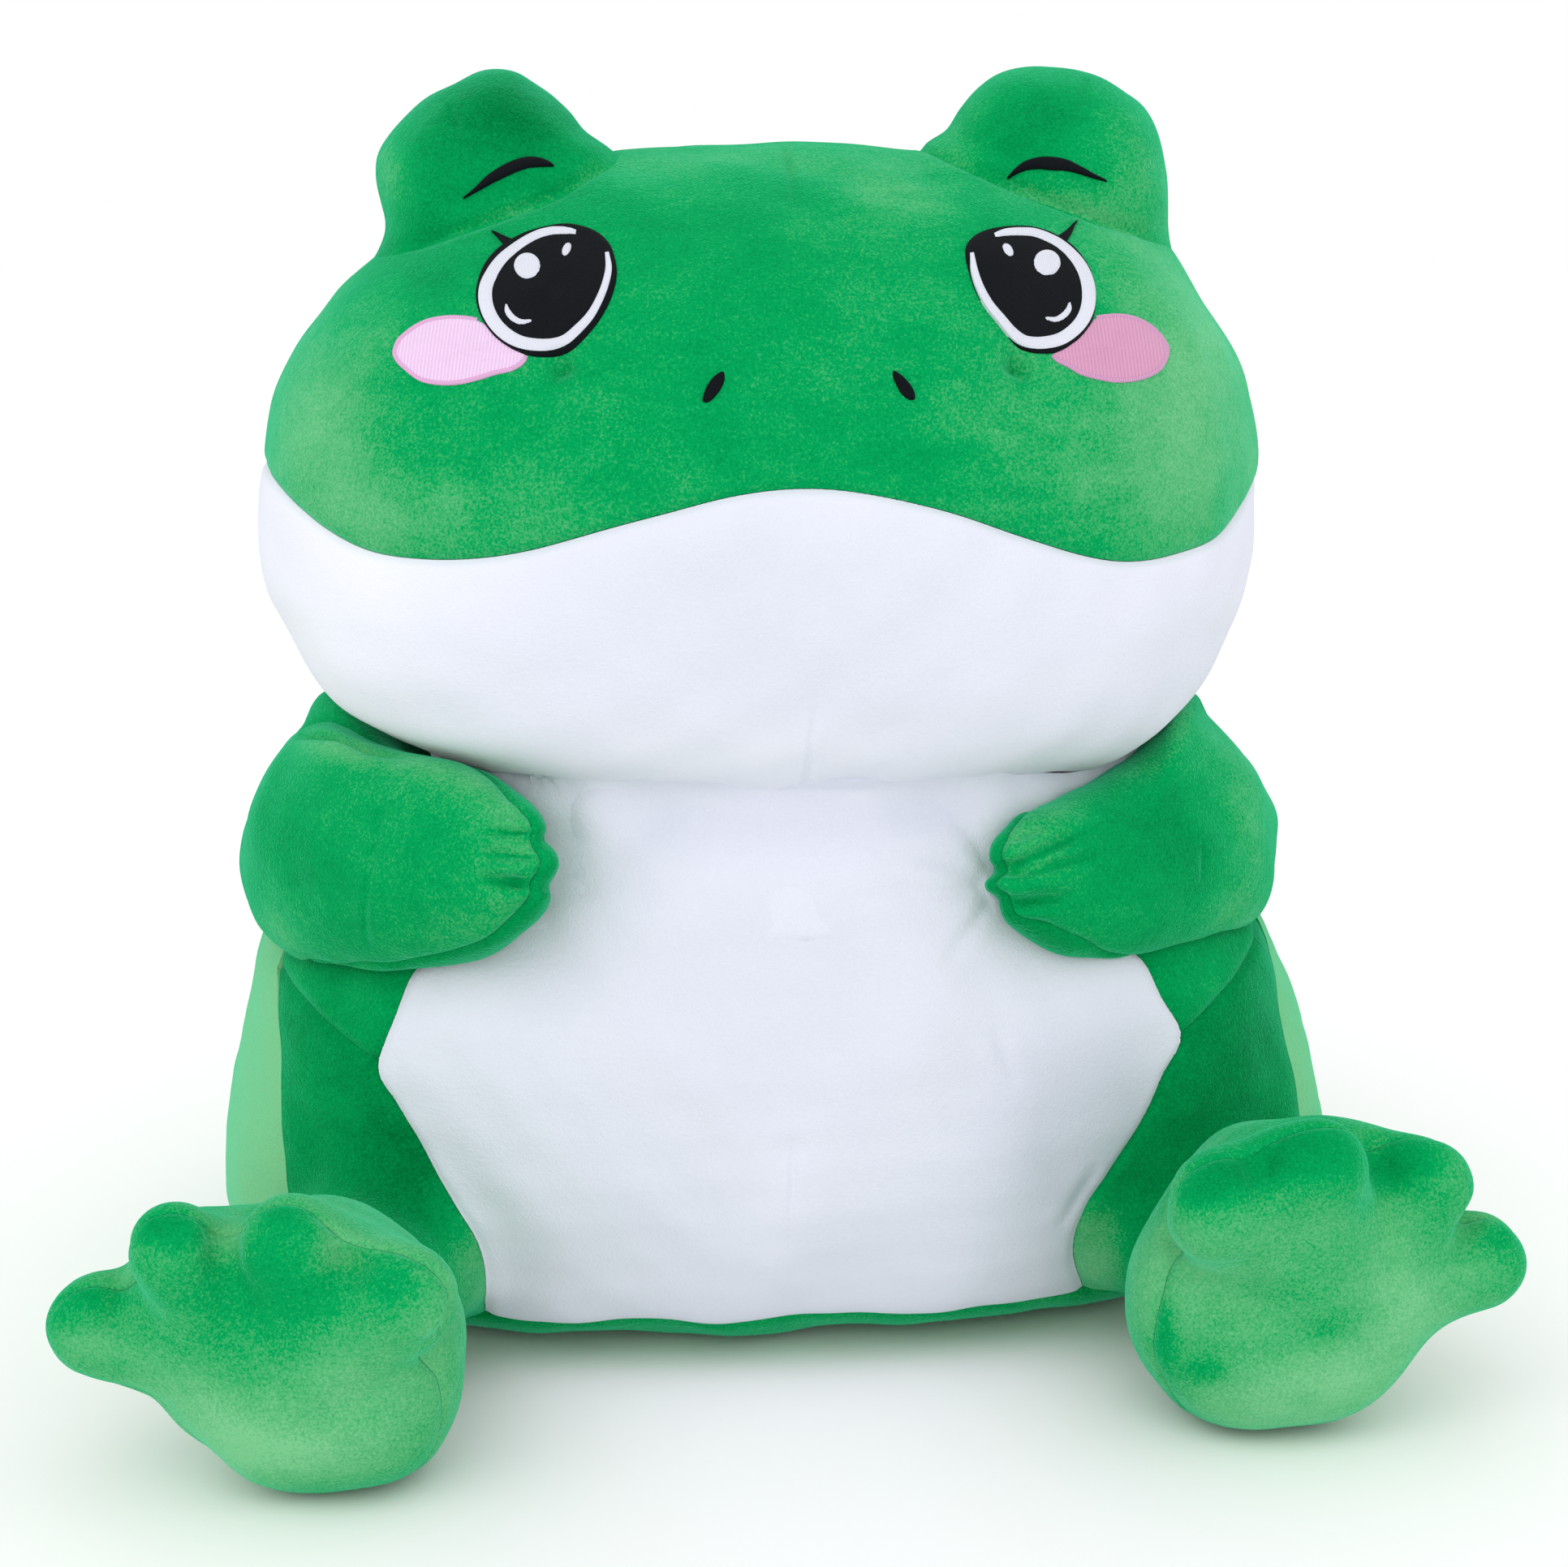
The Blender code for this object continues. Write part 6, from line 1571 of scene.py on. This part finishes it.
def from_crop(side, rows):
    rows = np.asarray(rows, float)
    ox, oy = ORIGIN[side]
    return np.stack([rows[:, 0] / ZOOM + ox, rows[:, 1] / ZOOM + oy], 1), rows[:, 2] / ZOOM


def oval(u, v, a, b, turn, count=40):
    t = np.arange(count) / count * 2 * np.pi
    x, y = a * np.cos(t), b * np.sin(t)
    c, s = math.cos(math.radians(turn)), math.sin(math.radians(turn))
    return np.stack([u + x * c - y * s, v + x * s + y * c], 1)


def shrunk(ring, by):
    """The ring moved inward by a number of pixels."""
    ring = np.asarray(ring, float)
    run = np.roll(ring, -1, 0) - np.roll(ring, 1, 0)
    run /= np.linalg.norm(run, axis=1)[:, None]
    side = np.stack([-run[:, 1], run[:, 0]], 1)
    inward = np.sign(((ring.mean(0) - ring) * side).sum(1).mean())
    return ring + side * inward * by


def embroider(side, cover, bump_cover):
    tilt = 1 if side == "left" else -1
    black, white, pink = "black_thread", "white_thread", "pink_thread"
    cheek = curve_through(CHEEK_RING[side], 120, closed=True)
    patch(f"cheek_fill_{side}", shrunk(cheek, 3.0), cover, 0.00035, PINK_LIT if side == "left" else PINK_SHADED, pink, (f"cheek_{side}",), 0 + 8 * tilt, rings=22, base=0.0001)
    order = [6, 5, 4, 3, 2, 1, 0, 19, 18, 17, 16, 15, 14, 13, 12, 11, 10] if side == "left" else list(range(17))
    path = shrunk(np.array(CHEEK_RING[side]), 2.6)[order]
    stroke(f"cheek_rim_{side}", path, np.full(len(path), 5.5), cover, 0.0005, PINK_RIM_LIT if side == "left" else PINK_RIM_SHADED, pink, (), base=0.0002, count=110, over=7)
    ring = curve_through(EYE_OUTLINE[side], 150, closed=True)
    patch(f"eye_fill_{side}", ring, cover, 0.0008, BLACK, black, (f"eye_black_{side}",), 35 * tilt, rings=26)
    line, width = from_crop(side, RING_LINE[side])
    stroke(f"eye_outline_{side}", line, width, cover, 0.0007, RING, white, (f"eye_ring_{side}",), base=0.0013, count=150)
    (u, v, a, b, turn), (u2, v2, a2, b2, turn2) = GLINTS[side]
    place, _ = from_crop(side, ((u, v, 1), (u2, v2, 1)))
    patch(f"glint_large_{side}", oval(*place[0], a / ZOOM, b / ZOOM, turn), cover, 0.0006, RING, white, (f"eye_glint_large_{side}",), 10, rings=8, base=0.0013)
    patch(f"glint_small_{side}", oval(*place[1], a2 / ZOOM, b2 / ZOOM, turn2, 28), cover, 0.0005, RING, white, (f"eye_glint_small_{side}",), 10, rings=5, base=0.0013)
    line, width = from_crop(side, CRESCENT[side])
    stroke(f"crescent_{side}", line, width, cover, 0.0005, RING, white, (f"eye_crescent_{side}",), base=0.0013, count=40, over=7)
    line, width = from_crop(side, LASH[side])
    stroke(f"lash_{side}", line, width, cover, 0.0007, BLACK, black, (f"eyelash_{side}",), count=30, over=7)
    ring = curve_through(NOSTRIL[side], 44, closed=True)
    patch(f"nostril_fill_{side}", ring, cover, 0.0006, BLACK, black, (f"nostril_{side}",), 60 * tilt, rings=7, base=0.0002)
    line, width = from_crop(side, BROW[side])
    stroke(f"brow_{side}", line, width, bump_cover, 0.0009, BLACK, black, (f"eyebrow_{side}",), count=70)


# =====================================================================
# camera, floor and light
# =====================================================================
def build_camera():
    camera = bpy.data.cameras.new("picture_view")
    camera.lens = FOCAL / WIDE * 36.0
    camera.sensor_width = 36.0
    camera.clip_start, camera.clip_end = 0.05, 60.0
    obj = bpy.data.objects.new("picture_view", camera)
    bpy.context.scene.collection.objects.link(obj)
    turn = Matrix((RIGHT, UP, BACK)).transposed()
    obj.matrix_world = Matrix.Translation(Vector(EYE_AT)) @ turn.to_4x4()
    bpy.context.scene.camera = obj


def build_stage():
    scene = bpy.context.scene
    world = bpy.data.worlds.new("studio")
    world.use_nodes = True
    world.node_tree.nodes["Background"].inputs["Color"].default_value = (1, 1, 1, 1)
    world.node_tree.nodes["Background"].inputs["Strength"].default_value = 1.0
    scene.world = world
    scene.view_settings.view_transform = "Standard"
    mesh = bpy.data.meshes.new("studio_floor")
    mesh.from_pydata([(-40, -40, 0), (40, -40, 0), (40, 40, 0), (-40, 40, 0)], [], [(0, 1, 2, 3)])
    floor = bpy.data.objects.new("studio_floor", mesh)
    floor.location = (0, 0, -0.0003)
    scene.collection.objects.link(floor)
    material = bpy.data.materials.new("studio_floor")
    material.use_nodes = True
    shader = material.node_tree.nodes["Principled BSDF"]
    shader.inputs["Base Color"].default_value = (0.95, 0.95, 0.95, 1)
    shader.inputs["Roughness"].default_value = 0.9
    shader.inputs["Specular IOR Level"].default_value = 0.1
    mesh.materials.append(material)
    for name, power, wide, towards in (("key", 0.50, 50, (0.55, 0.80, -1.0)), ("fill", 0.42, 60, (-0.10, 1.0, -0.22))):
        light = bpy.data.lights.new(name, "SUN")
        light.energy, light.angle = power, math.radians(wide)
        lamp = bpy.data.objects.new(name, light)
        scene.collection.objects.link(lamp)
        lamp.rotation_mode = "QUATERNION"
        lamp.rotation_quaternion = Vector(towards).to_track_quat("-Z", "Y")


build_camera()
build_stage()
head_surface = build_head()
head_cover = Cover(head_surface, head_field)
for which in ("left", "right"):
    bump_surface = build_bump(which)
    embroider(which, head_cover, Cover(bump_surface, bump_field(which)))
build_body()
build_collar()
for which in ("left", "right"):
    build_arm(which)
    build_foot(which)
